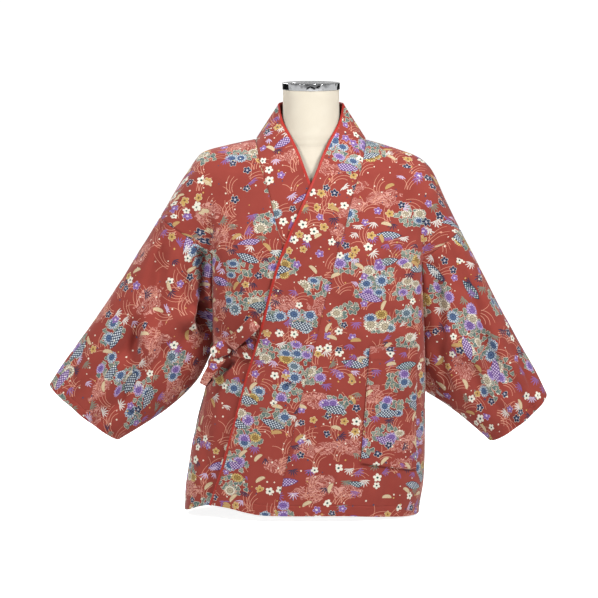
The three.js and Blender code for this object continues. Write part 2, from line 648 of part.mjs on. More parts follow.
function makePanels() {
  const grids = [];
  const axis = (point) => new THREE.Vector3(0, 0, Math.min(point.z, 560));
  for (const side of [LEFT, RIGHT]) {
    const panel = (row, column) => panelPoint(side, row, column);
    grids.push(faceOut(gridOf(`front_${side.name}`, FRONT_ROWS, PANEL_COLUMN, CLOTH, panel), axis));
    grids.push(faceOut(gridOf(`back_${side.name}`, BACK_ROWS, PANEL_COLUMN, CLOTH, panel), axis));
    const strip = (row, column) => stripPoint(side, row, column);
    const columns = span(0, 1, STRIP_COLUMNS);
    grids.push(faceOut(gridOf(`collar_${side.name}`, STRIP_ROWS, columns, COLLAR, strip), axis));
    const along = (point) => {
      const s = clamp((Math.abs(point.x) - 230) / 200, 0, 1);
      const part = (name) => side.sleeveAt[name](s);
      return new THREE.Vector3(
        (side.sign * (part("top_x") + part("low_x"))) / 2,
        0,
        (part("top_z") + part("low_z")) / 2,
      );
    };
    const sleeve = (s, row) => sleevePoint(side, s, row);
    const tube = gridOf(`sleeve_${side.name}`, SLEEVE_RINGS, RING_ROWS, CLOTH, sleeve, true);
    grids.push(faceOut(tube, along));
  }
  shareNormals(grids);
  for (const grid of grids) {
    const kind = grid.name.split("_")[0];
    if (kind === "sleeve") inset(grid, "top");
    if (kind === "front" || kind === "back") {
      for (const border of ["top", "inner", "outer"]) inset(grid, border);
    }
    if (kind === "collar") {
      inset(grid, "outer");
      inset(grid, "top");
      inset(grid, "inner", PIPING_WIDTH + SEAM_GAP);
    }
  }
  return grids;
}

// Piping on a strip's free edge: a rounded band along the edge's own rows.
function pipingGeometry(side) {
  const corners = 8;
  const rings = STRIP_ROWS.map((row, i) => {
    const edge = stripPoint(side, row, 0);
    const across = stripEdgeDirection(side, row);
    const ahead = stripPoint(side, STRIP_ROWS[Math.min(i + 1, STRIP_ROWS.length - 1)], 0);
    const behind = stripPoint(side, STRIP_ROWS[Math.max(i - 1, 0)], 0);
    const along = ahead.sub(behind).normalize();
    if (i === 0) along.set(side.sign, 0, 0);
    const out = new THREE.Vector3().crossVectors(along, across).normalize();
    if (out.dot(new THREE.Vector3(edge.x, edge.y, 0)) < 0) out.negate();
    const middle = edge.clone().addScaledVector(across, PIPING_WIDTH / 2).addScaledVector(out, -COLLAR / 2);
    if (i === 0) middle.x += (side.sign * SEAM_GAP) / 2;
    return Array.from({ length: corners }, (_, n) => {
      const turn = (2 * Math.PI * (n + 0.5)) / corners;
      const squash = (value) => Math.sign(value) * Math.abs(value) ** 0.8;
      return middle.clone()
        .addScaledVector(across, (PIPING_WIDTH / 2) * squash(Math.cos(turn)))
        .addScaledVector(out, (PIPING_THICK / 2) * squash(Math.sin(turn)));
    });
  });
  return loft(rings);
}

// Patch pocket: the front's own points between its corners, moved out.
function pocketGeometry() {
  const across = span(0, 1, 12).map((t) => 1 - (1 - t) ** 1.7);
  const rows = span(0, 1, 10).map((down) => across.map((column) => {
    const corner = (name) => lerp(POCKET.top[name], POCKET.foot[name], down);
    const x = lerp(corner("in_x"), corner("out_x"), column);
    const z = lerp(corner("in_z"), corner("out_z"), column);
    return onFront(x, z, CLOTH + POCKET_GAP);
  }));
  const axis = (point) => new THREE.Vector3(0, 0, point.z);
  return wallGeometry(faceOut(makeGrid("pocket", rows, CLOTH), axis));
}

// A flat band of the tie along its middle line.
function bandGeometry({ rows, across, width }) {
  const direction = new THREE.Vector3(across.x, 0, across.z);
  const points = rows.map(({ x, y, z, off }) => {
    const under = layerPoint(RIGHT, x, z);
    return new THREE.Vector3(x, y ?? under.y - off, z);
  });
  const path = new THREE.CatmullRomCurve3(points);
  const rings = span(0, 1, 3 * (rows.length - 1)).map((t) => {
    const along = path.getTangent(t);
    const side = direction.clone().addScaledVector(along, -direction.dot(along)).normalize();
    const out = new THREE.Vector3().crossVectors(along, side);
    const reach = lerp(width[0], width[1], t) / 2;
    return [[1, 1], [-1, 1], [-1, -1], [1, -1]].map(([a, b]) => path.getPoint(t)
      .addScaledVector(side, a * reach)
      .addScaledVector(out, (b * TIE_THICK) / 2));
  });
  return loft(rings);
}

function knotGeometry() {
  const knot = new THREE.SphereGeometry(1, 16, 10);
  knot.scale(KNOT.half_x, KNOT.half_y, KNOT.half_z);
  knot.translate(KNOT.x, KNOT.y, KNOT.z);
  return knot;
}

function formGeometry() {
  const around = 36;
  const turns = span(0, 2 * Math.PI, around).slice(0, -1);
  const bend = (value) => Math.sign(value) * Math.abs(value) ** (2 / FORM_POWER);
  return loft(FORM.map(({ z, half, front, back }) => turns.map((turn) => {
    const depth = Math.sin(turn) < 0 ? front : back;
    return new THREE.Vector3(half * bend(Math.cos(turn)), depth * bend(Math.sin(turn)), z);
  })));
}

function capGeometry() {
  const { radius, z, top_z: top, edge } = CAP;
  const profile = [
    [0, z], [radius - edge, z], [radius, z + edge], [radius, top - edge], [radius - edge, top], [0, top],
  ].map(([r, height]) => new THREE.Vector2(r, height));
  const cap = new THREE.LatheGeometry(profile, 48);
  cap.rotateX(Math.PI / 2);
  cap.translate(0, CAP.centre_y, 0);
  return cap;
}

const MATERIALS = {
  crepe: new THREE.MeshStandardMaterial({ color: 0x9c3a34, roughness: 0.85, side: THREE.DoubleSide }),
  piping: new THREE.MeshStandardMaterial({ color: 0xb8322c, roughness: 0.6 }),
  form: new THREE.MeshStandardMaterial({ color: 0xefe6d6, roughness: 0.9 }),
  metal: new THREE.MeshStandardMaterial({ color: 0xc9ccd0, roughness: 0.15, metalness: 1 }),
};

const group = new THREE.Group();
function add(name, geometry, material) {
  const mesh = new THREE.Mesh(geometry, MATERIALS[material]);
  mesh.name = name;
  group.add(mesh);
}

add("form", formGeometry(), "form");
add("cap", capGeometry(), "metal");
for (const grid of makePanels()) add(grid.name, wallGeometry(grid), "crepe");
for (const side of [LEFT, RIGHT]) add(`piping_${side.name}`, pipingGeometry(side), "piping");
add("pocket", pocketGeometry(), "crepe");

for (const [name, band] of Object.entries({
  tie_strap: TIE_STRAP, tie_side: TIE_SIDE, tie_loop: TIE_LOOP, tie_tail: TIE_TAIL,
})) add(name, bandGeometry(band), "crepe");
add("tie_knot", knotGeometry(), "crepe");

export default group;
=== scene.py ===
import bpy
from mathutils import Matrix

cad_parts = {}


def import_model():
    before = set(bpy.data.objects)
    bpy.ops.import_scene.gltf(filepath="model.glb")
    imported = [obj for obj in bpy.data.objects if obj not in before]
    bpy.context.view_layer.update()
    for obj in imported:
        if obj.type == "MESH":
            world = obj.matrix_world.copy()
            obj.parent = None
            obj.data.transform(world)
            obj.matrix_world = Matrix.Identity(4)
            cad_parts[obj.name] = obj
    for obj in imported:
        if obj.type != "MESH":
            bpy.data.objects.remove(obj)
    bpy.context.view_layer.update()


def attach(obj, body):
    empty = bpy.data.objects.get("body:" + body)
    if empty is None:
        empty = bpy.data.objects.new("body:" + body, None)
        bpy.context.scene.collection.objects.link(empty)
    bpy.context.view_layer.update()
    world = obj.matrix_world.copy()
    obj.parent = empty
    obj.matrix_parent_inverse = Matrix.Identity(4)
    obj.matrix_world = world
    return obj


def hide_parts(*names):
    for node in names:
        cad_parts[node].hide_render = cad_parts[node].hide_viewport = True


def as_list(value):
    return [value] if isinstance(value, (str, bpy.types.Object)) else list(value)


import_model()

import math

import bpy
import numpy as np
from mathutils import Vector

MM = 0.001


def table(columns, *rows):
    """Rows of numbers as a dict of named columns."""
    return dict(zip(columns.split(), np.array(rows, float).T))


# ---------------------------------------------------------------- sizes of the part
CLOTH = 1.5                # wall of fronts, backs, sleeves and pocket
COLLAR = 2.4               # collar strip, cloth on interlining
PIPING_WIDTH = 6.3
PIPING_THICK = 3.2
SEAM_GAP = 0.4
POCKET_GAP = 1.5
TIE_THICK = 1.6

RIDGE_DROP = 62            # height over which the shoulder rounds over
SIDE_POWER = 2.5           # squareness of the body's oval
GUSSET = 52                # half depth of the armhole where it is widest
GUSSET_TURN, GUSSET_LIFT = 1.8, 0.85
SOFT_REACH = 290           # how far out the chest's bulge fades away
CREASE_FADE = 120          # height over which the crease at the armhole fades
KNEE_ROW = 5 / 16          # row of the armhole's front and back corners
NAPE_ROW = 4 / 16          # row where the back neck reaches the centre
SPLIT_ROW = 1 / 16         # shoulder seam, a little behind the ridge
UNDERARM_SEAM_Z = 250      # height of row 1 at the collar seam and centre back
YOKE_DROP = 70             # drop of the collar seam from row 0 to the knee row
NAPE_DEPTH = 70            # how far behind the ridge the back neck seam lies
NAPE_Z = 704               # height of the neck seam at the centre back
HEM_LEVEL = 12             # mean height of the hem
NECK_HALF, NECK_BACK, NECK_CENTRE = 60.5, 60, 3
NECK_SIDE_Z, NECK_NAPE_Z = 782, 784
LAP_RAMP, LAP_SHARE = 55, 0.8          # width over which the inner layer sinks in, and its most
HIDDEN_HEM_LIFT, HIDDEN_HEM_X = 5, (-196, -166)
ARMHOLE_ROUND = 1.6
STAND_Z = (655, 720)       # heights between which the collar leaves the chest and stands up
SLEEVE_OPENING = 0.35      # part of the sleeve over which the armhole's shape fades
SLEEVE_ROUND = 0.9
SLEEVE_SET_IN = 0.3        # part of the sleeve over which its folds set in, and from which the cuff bows
FOLD_IN, FOLD_OUT = (-0.1, 0.35), (0.85, 1.2)    # parts of a body fold where it sets in and dies out
MIDDLE_Z = 560             # height above which outward directions are taken from one point

DEPTH = table("z front back",
    (0, 130, 118), (115, 129, 122), (250, 128, 114), (400, 127, 109), (520, 124, 107),
    (580, 116, 104), (620, 106, 98), (660, 92, 89), (700, 80, 79), (735, 70, 70))
LAP = table("z inside", (0, 9), (400, 6.5), (640, 5.5), (655, 5), (700, 0))
COLLAR_SEAM = table("z x",
    (8, -67), (30, -62.7), (101, -48), (210, -24.7), (322, 4.4), (428, 28.5), (499, 46.7),
    (559, 65), (618.5, 79.5), (663, 94), (713, 105))
FREE_EDGE = table("z x",
    (20, -196), (32, -192), (90, -173), (164, -152.8), (272, -123.7), (370, -94.6),
    (427.6, -80.6), (481, -66), (538, -44.3), (588, -22.4), (633, -2.5), (654, 6.7),
    (692.5, 22), (720.3, 36), (754, 54.5), (782, 60.5))
NECK_EDGE = table("z y", (640, -99), (692, -77), (720, -56), (740, -39), (754, -26), (768, -12), (782, 3))
ACROSS = table("seam_z edge_z",
    (250, 262), (428, 445), (559, 585), (618.5, 650), (663, 700), (695, 742), (713, 782))
FRONT_HEM = table("x z",
    (-241, 8), (-211, 23), (-192, 27), (-160, 24), (-120, 15.7), (-95, 12), (-63, 11),
    (51, 11), (139, 7), (195, 3.4), (207, 3.4))
BACK_HEM = table("x z", (-241, 8), (-120, 10), (0, 8), (120, 8), (207, 3.4))

# Large soft troughs of the body, from top to foot
BODY_FOLDS = {
    "front": table("top_x top_z foot_x foot_z deep wide",
        (-150, 640, -176, 330, 5, 16), (-182, 290, -196, 60, 5, 14),
        (158, 640, 182, 360, 5, 16), (40, 210, 34, 20, 3.5, 18)),
    "back": table("top_x top_z foot_x foot_z deep wide",
        (-130, 650, -168, 300, 7, 18), (130, 650, 172, 280, 7, 18),
        (-70, 420, -92, 20, 6, 24), (64, 400, 88, 20, 6, 24)),
}


class Side:
    """One side of the top: outline, shoulder ridge, corners of the armhole, sleeve."""

    def __init__(self, name, sign, edge, ridge, neck, shoulder, knee, underarm, sleeve, folds, bow):
        self.name, self.sign = name, sign
        self.edge_x = curve(edge, "z", "x")
        self.ridge_z = curve(ridge, "x", "z")
        self.neck, self.shoulder, self.knee, self.underarm = neck, shoulder, knee, underarm
        self.sleeve = {key: curve(sleeve, "s", key) for key in sleeve if key != "s"}
        self.sleeve_folds = folds
        self.cuff_bow = bow


def lerp(a, b, t):
    return a + (b - a) * t


def smoothstep(low, high, value):
    t = np.clip((value - low) / (high - low), 0, 1)
    return t * t * (3 - 2 * t)


def quarter_sine(t):
    return np.sin(math.pi / 2 * t)


def quarter_drop(t):
    return 1 - np.cos(math.pi / 2 * t)


def curve(rows, key, column):
    """A smooth curve through a table's rows, which never overshoots them."""
    at, value = rows[key], rows[column]
    rise = np.diff(value) / np.diff(at)
    before, after = rise[:-1], rise[1:]
    turning = before * after <= 0
    middle = np.where(turning, 0, 2 * before * after / np.where(turning, 1, before + after))
    slope = np.concatenate([rise[:1], middle, rise[-1:]])

    def value_at(place):
        x = np.clip(place, at[0], at[-1])
        i = np.clip(np.searchsorted(at, x) - 1, 0, len(at) - 2)
        width = at[i + 1] - at[i]
        t = (x - at[i]) / width
        end = t * t * (3 - 2 * t)
        bend = width * t * (1 - t) * ((1 - t) * slope[i] - t * slope[i + 1])
        return (1 - end) * value[i] + end * value[i + 1] + bend

    return value_at


LEFT = Side("left", 1,
    edge=table("z x", (5, 206), (22, 208), (65, 215), (120, 217), (232, 218), (340, 215),
        (486, 209), (700, 208)),
    ridge=table("x z", (0, 735), (60, 725), (105, 713), (169, 693), (204, 679), (226, 659),
        (255, 599), (280.7, 547), (283, 543)),
    neck=(105, 713), shoulder=(283, 543), knee=(209, 486), underarm=(218, 232),
    sleeve=table("s top_x top_z low_x low_z front back",
        (0, 283, 543, 218, 232, 52, 52), (0.22, 329, 447, 249, 213, 70, 64),
        (0.5, 375, 364, 285, 187, 62, 57), (0.8, 421, 281, 320, 157, 48, 46),
        (1, 448, 230, 338, 141, 38, 36)),
    folds={"front": table("at_0 at_1 deep wide", (0.4, 0.3, 9, 0.09), (0.66, 0.62, 8, 0.09)),
        "back": table("at_0 at_1 deep wide", (0.5, 0.42, 9, 0.11))},
    bow=13)
RIGHT = Side("right", -1,
    edge=table("z x", (8, 241), (45, 239.5), (90, 233.5), (135, 225), (180, 216.5), (240, 200),
        (312, 187), (500, 186), (700, 184)),
    ridge=table("x z", (0, 735), (60, 725), (105, 714), (160, 702), (204, 689), (238, 646),
        (275.5, 584), (286, 566)),
    neck=(105, 714), shoulder=(286, 566), knee=(186, 500), underarm=(187, 312),
    sleeve=table("s top_x top_z low_x low_z front back",
        (0, 286, 566, 187, 312, 52, 52), (0.2, 332, 489, 214, 258, 70, 64),
        (0.5, 393, 396, 268, 204, 62, 57), (0.8, 456, 306, 327, 164, 48, 46),
        (1, 497, 247, 365, 141, 38, 36)),
    folds={"front": table("at_0 at_1 deep wide", (0.36, 0.34, 9, 0.1), (0.62, 0.66, 8, 0.08)),
        "back": table("at_0 at_1 deep wide", (0.5, 0.5, 9, 0.11))},
    bow=7)
SIDES = (LEFT, RIGHT)

centre_depth = {face: curve(DEPTH, "z", face) for face in ("front", "back")}
lap_inside = curve(LAP, "z", "inside")
seam_x = curve(COLLAR_SEAM, "z", "x")
free_x = curve(FREE_EDGE, "z", "x")
neck_edge_y = curve(NECK_EDGE, "z", "y")
across_z = curve(ACROSS, "seam_z", "edge_z")
front_hem = curve(FRONT_HEM, "x", "z")
back_hem = curve(BACK_HEM, "x", "z")


# ---------------------------------------------------------------- shell of the body
def rows_of(folds):
    """The rows of a table of folds, one dict each."""
    count = len(next(iter(folds.values())))
    return [{key: column[i] for key, column in folds.items()} for i in range(count)]


def gusset(side, z):
    """Half depth of the armhole at a height."""
    up = np.clip((z - side.underarm[1]) / (side.knee[1] - side.underarm[1]), 0, 1)
    return GUSSET * (1 - (1 - up) ** GUSSET_TURN) ** GUSSET_LIFT


def fold_depth(face, x, z):
    depth = np.zeros(np.broadcast(x, z).shape)
    for fold in rows_of(BODY_FOLDS[face]):
        down = (fold["top_z"] - z) / (fold["top_z"] - fold["foot_z"])
        across = (x - lerp(fold["top_x"], fold["foot_x"], down)) / fold["wide"]
        along = smoothstep(*FOLD_IN, down) * (1 - smoothstep(*FOLD_OUT, down))
        depth += fold["deep"] * along * np.exp(-across * across)
    return depth


def one_side_depth(side, face, x, z):
    out = np.abs(x)
    ratio = np.minimum(1, out / side.edge_x(z))
    crisp = (1 - ratio ** SIDE_POWER) ** (1 / SIDE_POWER)
    soft = np.cos(math.pi / 2 * np.minimum(1, out / SOFT_REACH)) ** 2
    bulge = lerp(crisp, soft, smoothstep(side.knee[1], side.knee[1] + CREASE_FADE, z))
    narrow = gusset(side, z)
    drop = np.clip((side.ridge_z(out) - z) / RIDGE_DROP, 0, 1)
    rounding = np.sqrt(1 - (1 - drop) ** 2)
    full = narrow + (centre_depth[face](z) - narrow) * bulge
    return (full - fold_depth(face, x, z) * bulge) * rounding


def shell_depth(face, x, z):
    """Depth of the shell in front of or behind the plane y = 0, at places (x, z)."""
    return np.where(x >= 0, one_side_depth(LEFT, face, x, z), one_side_depth(RIGHT, face, x, z))


def points_of(x, y, z):
    return np.stack(np.broadcast_arrays(x, y, z), -1).astype(float)


def unit(vectors):
    length = np.linalg.norm(vectors, axis=-1, keepdims=True)
    return vectors / np.maximum(length, 1e-9)


def shell_point(face, x, z):
    depth = shell_depth(face, x, z)
    return points_of(x, -depth if face == "front" else depth, z)


def front_normal(x, z, step=1.0):
    """The shell's outward direction at places on its front."""
    slope_x = (shell_depth("front", x + step, z) - shell_depth("front", x - step, z)) / (2 * step)
    slope_z = (shell_depth("front", x, z + step) - shell_depth("front", x, z - step)) / (2 * step)
    return unit(points_of(-slope_x, -1, -slope_z))


def on_front(x, z, off):
    return shell_point("front", x, z) + front_normal(x, z) * np.asarray(off)[..., None]


def lap_depth(x, z):
    """How far the wearer's right front lies inside the left one that laps over it."""
    edge = free_x(z)
    ramp = np.minimum(LAP_RAMP, LAP_SHARE * (RIGHT.edge_x(z) + edge))
    return lap_inside(z) * smoothstep(edge - ramp, edge, x)


def layer_point(side, x, z):
    return shell_point("front", x, z) if side is LEFT else on_front(x, z, -lap_depth(x, z))


def hem_z(side, face, x):
    if face == "back":
        return back_hem(x)
    hidden = smoothstep(*HIDDEN_HEM_X, x) if side is RIGHT else 0
    return front_hem(x) + HIDDEN_HEM_LIFT * hidden


def inner_edge(side, face, row):
    """Inner edge of a front (the collar seam) or back (neck seam, then the middle)."""
    if face == "back":
        turn = np.minimum(row / NAPE_ROW, 1)
        round_x = side.neck[0] * (1 - quarter_drop(turn))
        reach = NAPE_DEPTH * quarter_sine(turn) / centre_depth["back"](side.neck[1])
        fall = RIDGE_DROP * (1 - np.sqrt(1 - reach ** 2))
        round_z = side.ridge_z(round_x) - fall - (side.ridge_z(0) - NAPE_Z - fall) * turn ** 3
        down = (row - NAPE_ROW) / (1 - NAPE_ROW)
        low = row > NAPE_ROW
        return np.where(low, 0, round_x), np.where(low, lerp(NAPE_Z, UNDERARM_SEAM_Z, down), round_z)
    top = side.neck[1]
    upper = top - YOKE_DROP * quarter_drop(np.minimum(row / KNEE_ROW, 1))
    lower = lerp(top - YOKE_DROP, UNDERARM_SEAM_Z, (row - KNEE_ROW) / (1 - KNEE_ROW))
    z = np.where(row <= KNEE_ROW, upper, lower)
    return np.where(row == 0, side.neck[0], seam_x(z)), z


def armhole(side, row):
    """Outer edge of a front or back above the underarm."""
    part = quarter_drop(np.minimum(row / KNEE_ROW, 1)) ** ARMHOLE_ROUND
    down = np.maximum(row - KNEE_ROW, 0) / (1 - KNEE_ROW)
    low_z = lerp(side.knee[1], side.underarm[1], down)
    upper = row <= KNEE_ROW
    x = np.where(upper, lerp(side.shoulder[0], side.knee[0], part), side.edge_x(low_z))
    z = np.where(upper, lerp(side.shoulder[1], side.knee[1], part), low_z)
    return x, z


def panel_place(side, face, row, column):
    """Places (x, z) on a front or back, with x measured on its own side."""
    above = np.minimum(row, 1)
    in_x, in_z = inner_edge(side, face, above)
    out_x, out_z = armhole(side, above)
    x = lerp(in_x, out_x, column)
    drop = lerp(side.ridge_z(np.abs(in_x)) - in_z, side.ridge_z(out_x) - out_z, column)
    z = side.ridge_z(np.abs(x)) - drop
    inside = seam_x if face == "front" else lambda height: 0 * height
    foot_x = side.sign * lerp(inside(HEM_LEVEL), side.edge_x(HEM_LEVEL), column)
    low = lerp(z, hem_z(side, face, foot_x), np.maximum(row - 1, 0))
    low_x = lerp(inside(low), side.edge_x(low), column)
    return np.where(row <= 1, x, low_x), np.where(row <= 1, z, low)


def panel_point(side, row, column):
    """Points of a front (rows from 0 up) or of a back (rows below 0)."""
    row, column = np.broadcast_arrays(row, column)
    front_x, front_z = panel_place(side, "front", np.maximum(row, 0), column)
    back_x, back_z = panel_place(side, "back", np.maximum(-row, 0), column)
    front = layer_point(side, side.sign * front_x, front_z)
    back = shell_point("back", side.sign * back_x, back_z)
    return np.where((row >= 0)[..., None], front, back)


def strip_point(side, row, column):
    """Points of a collar strip: column 0 is its free edge and column 1 its seam."""
    row, column = np.broadcast_arrays(row, column)
    seam = panel_point(side, row, 0 * column)
    turn = np.clip(-row / NAPE_ROW, 0, 1)
    edge = points_of(
        side.sign * NECK_HALF * (1 - quarter_drop(turn)),
        NECK_CENTRE + NECK_BACK * quarter_sine(turn),
        lerp(NECK_SIDE_Z, NECK_NAPE_Z, turn))
    behind = edge + (seam - edge) * column[..., None]

    above = np.clip(row, 0, 1)
    top_x, top_z = inner_edge(side, "front", above)
    scale = (top_z - UNDERARM_SEAM_Z) / (side.neck[1] - UNDERARM_SEAM_Z)
    edge_z = across_z(lerp(UNDERARM_SEAM_Z, LEFT.neck[1], scale))
    x = lerp(free_x(edge_z), top_x, column)
    z = lerp(edge_z, top_z, column)
    foot_x = side.sign * lerp(free_x(HEM_LEVEL), seam_x(HEM_LEVEL), column)
    low = lerp(z, hem_z(side, "front", foot_x), np.maximum(row - 1, 0))
    low_x = lerp(free_x(low), seam_x(low), column)
    x, z = np.where(row > 1, low_x, x), np.where(row > 1, low, z)
    lying = layer_point(side, side.sign * x, z)
    standing = lerp(neck_edge_y(edge_z), seam[..., 1], column)
    free = np.where(row > 1, 0, smoothstep(*STAND_Z, lerp(edge_z, top_z, column)))
    lying[..., 1] = lerp(lying[..., 1], standing, free)
    lying = np.where((column == 1)[..., None], seam, lying)
    return np.where((row <= 0)[..., None], behind, lying)


def sleeve_point(side, s, row):
    """Points of a sleeve: s runs from armhole to cuff, and row is the armhole's."""
    s, row = np.broadcast_arrays(s, row)
    across = np.abs(row)
    start_x, start_z = armhole(side, across)
    seam = panel_point(side, row, np.ones_like(row))
    at = {key: value(s) for key, value in side.sleeve.items()}

    # How far each point of the armhole lies along and beside its chord
    root = np.array(side.underarm, float) - np.array(side.shoulder, float)
    root_length = np.linalg.norm(root)
    offset_x, offset_z = start_x - side.shoulder[0], start_z - side.shoulder[1]
    along = (offset_x * root[0] + offset_z * root[1]) / root_length ** 2
    aside = (offset_x * root[1] - offset_z * root[0]) / root_length

    # Further out the ring becomes an oval on the sleeve's own chord
    chord_x, chord_z = at["low_x"] - at["top_x"], at["low_z"] - at["top_z"]
    chord = np.hypot(chord_x, chord_z)
    open_ = smoothstep(0, SLEEVE_OPENING, s)
    angle = math.pi * across
    part = lerp(along, (1 - np.cos(angle)) / 2, open_)
    roundness = np.clip(np.sin(angle), 0, 1) ** SLEEVE_ROUND
    half = np.where(row >= 0, at["front"], at["back"])
    depth = lerp(np.abs(seam[..., 1]), half * roundness, open_)
    for face, facing in (("front", row >= 0), ("back", row < 0)):
        for fold in rows_of(side.sleeve_folds[face]):
            away = (part - lerp(fold["at_0"], fold["at_1"], s)) / fold["wide"]
            trough = fold["deep"] * smoothstep(0, SLEEVE_SET_IN, s) * np.exp(-away * away)
            depth = depth - np.where(facing, trough, 0)
    bow = side.cuff_bow * roundness * smoothstep(SLEEVE_SET_IN, 1, s)
    push = bow - aside * (1 - open_)
    x = at["top_x"] + chord_x * part - chord_z / chord * push
    z = at["top_z"] + chord_z * part + chord_x / chord * push
    made = points_of(side.sign * x, np.where(row >= 0, -depth, depth), z)
    return np.where((s == 0)[..., None], seam, made)


# ---------------------------------------------------------------- grids of cloth
def steps(low, high, count, extra=()):
    return np.unique(np.round(np.concatenate([np.linspace(low, high, count + 1), extra]), 6))


# Rows and columns are closer together beside seams, and where the hem's line lies. Columns also
# crowd towards the outer edge.
CROWDING, POCKET_CROWDING = 1.8, 1.7
UPPER_ROWS = steps(0, 1, 96, (0.004, 0.99, 0.996))
LOWER_ROWS = steps(1, 2, 44, (*np.linspace(1.88, 1.96, 41), 1.98, 1.99, 1.996))
ALL_ROWS = np.unique(np.concatenate([UPPER_ROWS, LOWER_ROWS]))
SPLIT_ROWS = ALL_ROWS[(ALL_ROWS > 0) & (ALL_ROWS <= SPLIT_ROW)]
NAPE_ROWS = ALL_ROWS[(ALL_ROWS > 0) & (ALL_ROWS <= NAPE_ROW)]
FRONT_ROWS = np.concatenate([-SPLIT_ROWS[::-1], ALL_ROWS])
BACK_ROWS = -ALL_ROWS[ALL_ROWS >= SPLIT_ROW]
STRIP_ROWS = np.concatenate([-NAPE_ROWS[::-1], ALL_ROWS])
PANEL_COLUMNS = np.unique([*(1 - (1 - np.linspace(0, 1, 65)) ** CROWDING), 0.004, 0.009, 0.015, 0.022])
STRIP_COLUMNS = steps(0, 1, 26, (0.015, 0.955, 0.97, 0.98, 0.988, 0.995))
SLEEVE_RINGS = steps(0, 1, 84, (*np.linspace(0.91, 0.97, 41), 0.003, 0.006, 0.009, 0.985, 0.993))


# Creases that the light shows, as troughs from one place to another on the front or back;
# a negative depth is a ridge. "bend" bows a crease sideways.
CREASES = {
    "front_right": table("x0 z0 x1 z1 bend deep wide",
        (-100, 640, -182, 540, 8, 4, 16), (-186, 500, -150, 420, -6, 3.5, 12),
        (-150, 303, -200, 250, 2, 17, 6), (-112, 346, -160, 312, 3, 12, 6),
        (-186, 352, -150, 338, 3, -3.5, 6), (-112, 306, -150, 262, 4, 3, 7),
        (-196, 262, -140, 300, -6, 4, 8), (-206, 210, -184, 40, 6, 4.5, 12),
        (-160, 250, -176, 60, -4, 3, 12)),
    "front_left": table("x0 z0 x1 z1 bend deep wide",
        (206, 556, 120, 470, -10, 4.2, 17), (150, 640, 196, 560, -6, 4, 14),
        (140, 400, 206, 356, 5, 4, 14), (40, 420, 130, 372, 6, 3, 16),
        (70, 250, 66, 40, 6, 3.4, 15), (206, 330, 200, 140, -4, 3.2, 10), (150, 90, 144, 8, 3, 3, 12)),
    "back_right": table("x0 z0 x1 z1 bend deep wide",
        (-184, 480, -110, 400, 8, 4, 15), (-40, 640, -170, 560, -10, 3, 16),
        (-150, 300, -176, 40, 5, 4, 15), (-20, 300, -34, 20, -5, 3, 18)),
    "back_left": table("x0 z0 x1 z1 bend deep wide",
        (206, 470, 120, 384, -8, 4, 15), (50, 630, 176, 566, 10, 3, 16),
        (160, 280, 180, 40, -5, 4, 15), (24, 320, 40, 20, 5, 3, 18)),
    "sleeve_right_front": table("x0 z0 x1 z1 bend deep wide",
        (-206, 520, -204, 396, 2, 27, 11), (-230, 530, -218, 400, -3, -6, 9),
        (-184, 408, -222, 416, 2, -9, 6), (-202, 404, -201, 350, 0, 60, 12),
        (-214, 440, -262, 300, 10, -6, 12), (-272, 530, -292, 350, 9, 13, 12),
        (-292, 350, -270, 240, -4, 8, 13), (-318, 410, -362, 300, -8, 9, 12),
        (-346, 380, -362, 205, -14, 13, 13), (-425, 330, -464, 240, 5, 6, 12),
        (-250, 600, -300, 520, 4, 5, 9), (-300, 300, -340, 190, 8, 5, 11)),
    "sleeve_left_front": table("x0 z0 x1 z1 bend deep wide",
        (228, 490, 248, 320, -5, 11, 11), (240, 330, 268, 230, 4, 7, 10),
        (262, 545, 330, 395, -8, -5, 14), (298, 440, 334, 322, -7, 12, 12),
        (332, 345, 368, 225, 8, 13, 13), (300, 300, 330, 185, -6, 8, 12),
        (372, 335, 424, 230, -6, 7, 11), (228, 505, 264, 570, 3, 5, 9)),
    "sleeve_right_back": table("x0 z0 x1 z1 bend deep wide",
        (-214, 500, -232, 350, 5, 11, 13), (-270, 520, -300, 340, 9, 12, 14),
        (-330, 420, -372, 240, -10, 11, 14), (-400, 330, -430, 200, 6, 7, 13)),
    "sleeve_left_back": table("x0 z0 x1 z1 bend deep wide",
        (232, 470, 250, 320, -5, 11, 13), (276, 500, 306, 320, -9, 12, 14),
        (320, 380, 356, 220, 10, 11, 14), (384, 300, 404, 190, -5, 7, 12)),
}


CREASE_IN, CREASE_OUT = (-0.16, 0.3), (0.7, 1.16)    # parts where a crease sets in and dies out
CREASE_WAVER, CREASE_WAVES = 0.25, 5                 # how its width wavers along it
# Soft ridges of cloth pushed up beside a crease: share of its depth, place and spread in widths
CREASE_RIDGES = table("share at spread", (0.32, 1.8, 1.4), (0.2, -2, 1.8))


def crease_depth(creases, x, z):
    """How far in the cloth is pushed by a table of creases, at places (x, z)."""
    depth = np.zeros(np.broadcast(x, z).shape)
    for one in rows_of(creases):
        way_x, way_z = one["x1"] - one["x0"], one["z1"] - one["z0"]
        length = math.hypot(way_x, way_z)
        off_x, off_z = x - one["x0"], z - one["z0"]
        along = (off_x * way_x + off_z * way_z) / length ** 2
        across = (off_x * way_z - off_z * way_x) / length
        bow = 4 * one["bend"] * np.clip(along, 0, 1) * (1 - np.clip(along, 0, 1))
        wide = one["wide"] * (1 + CREASE_WAVER * np.sin(CREASE_WAVES * along + one["x0"]))
        beside = (across - bow) / wide
        fade = smoothstep(*CREASE_IN, along) * (1 - smoothstep(*CREASE_OUT, along))
        rise = sum(ridge["share"] * np.exp(-(beside - ridge["at"]) ** 2 / ridge["spread"])
            for ridge in rows_of(CREASE_RIDGES))
        depth += one["deep"] * fade * (np.exp(-beside * beside) - rise)
    return depth


SAME_POINT = 0.01          # distance under which points of two borders are one


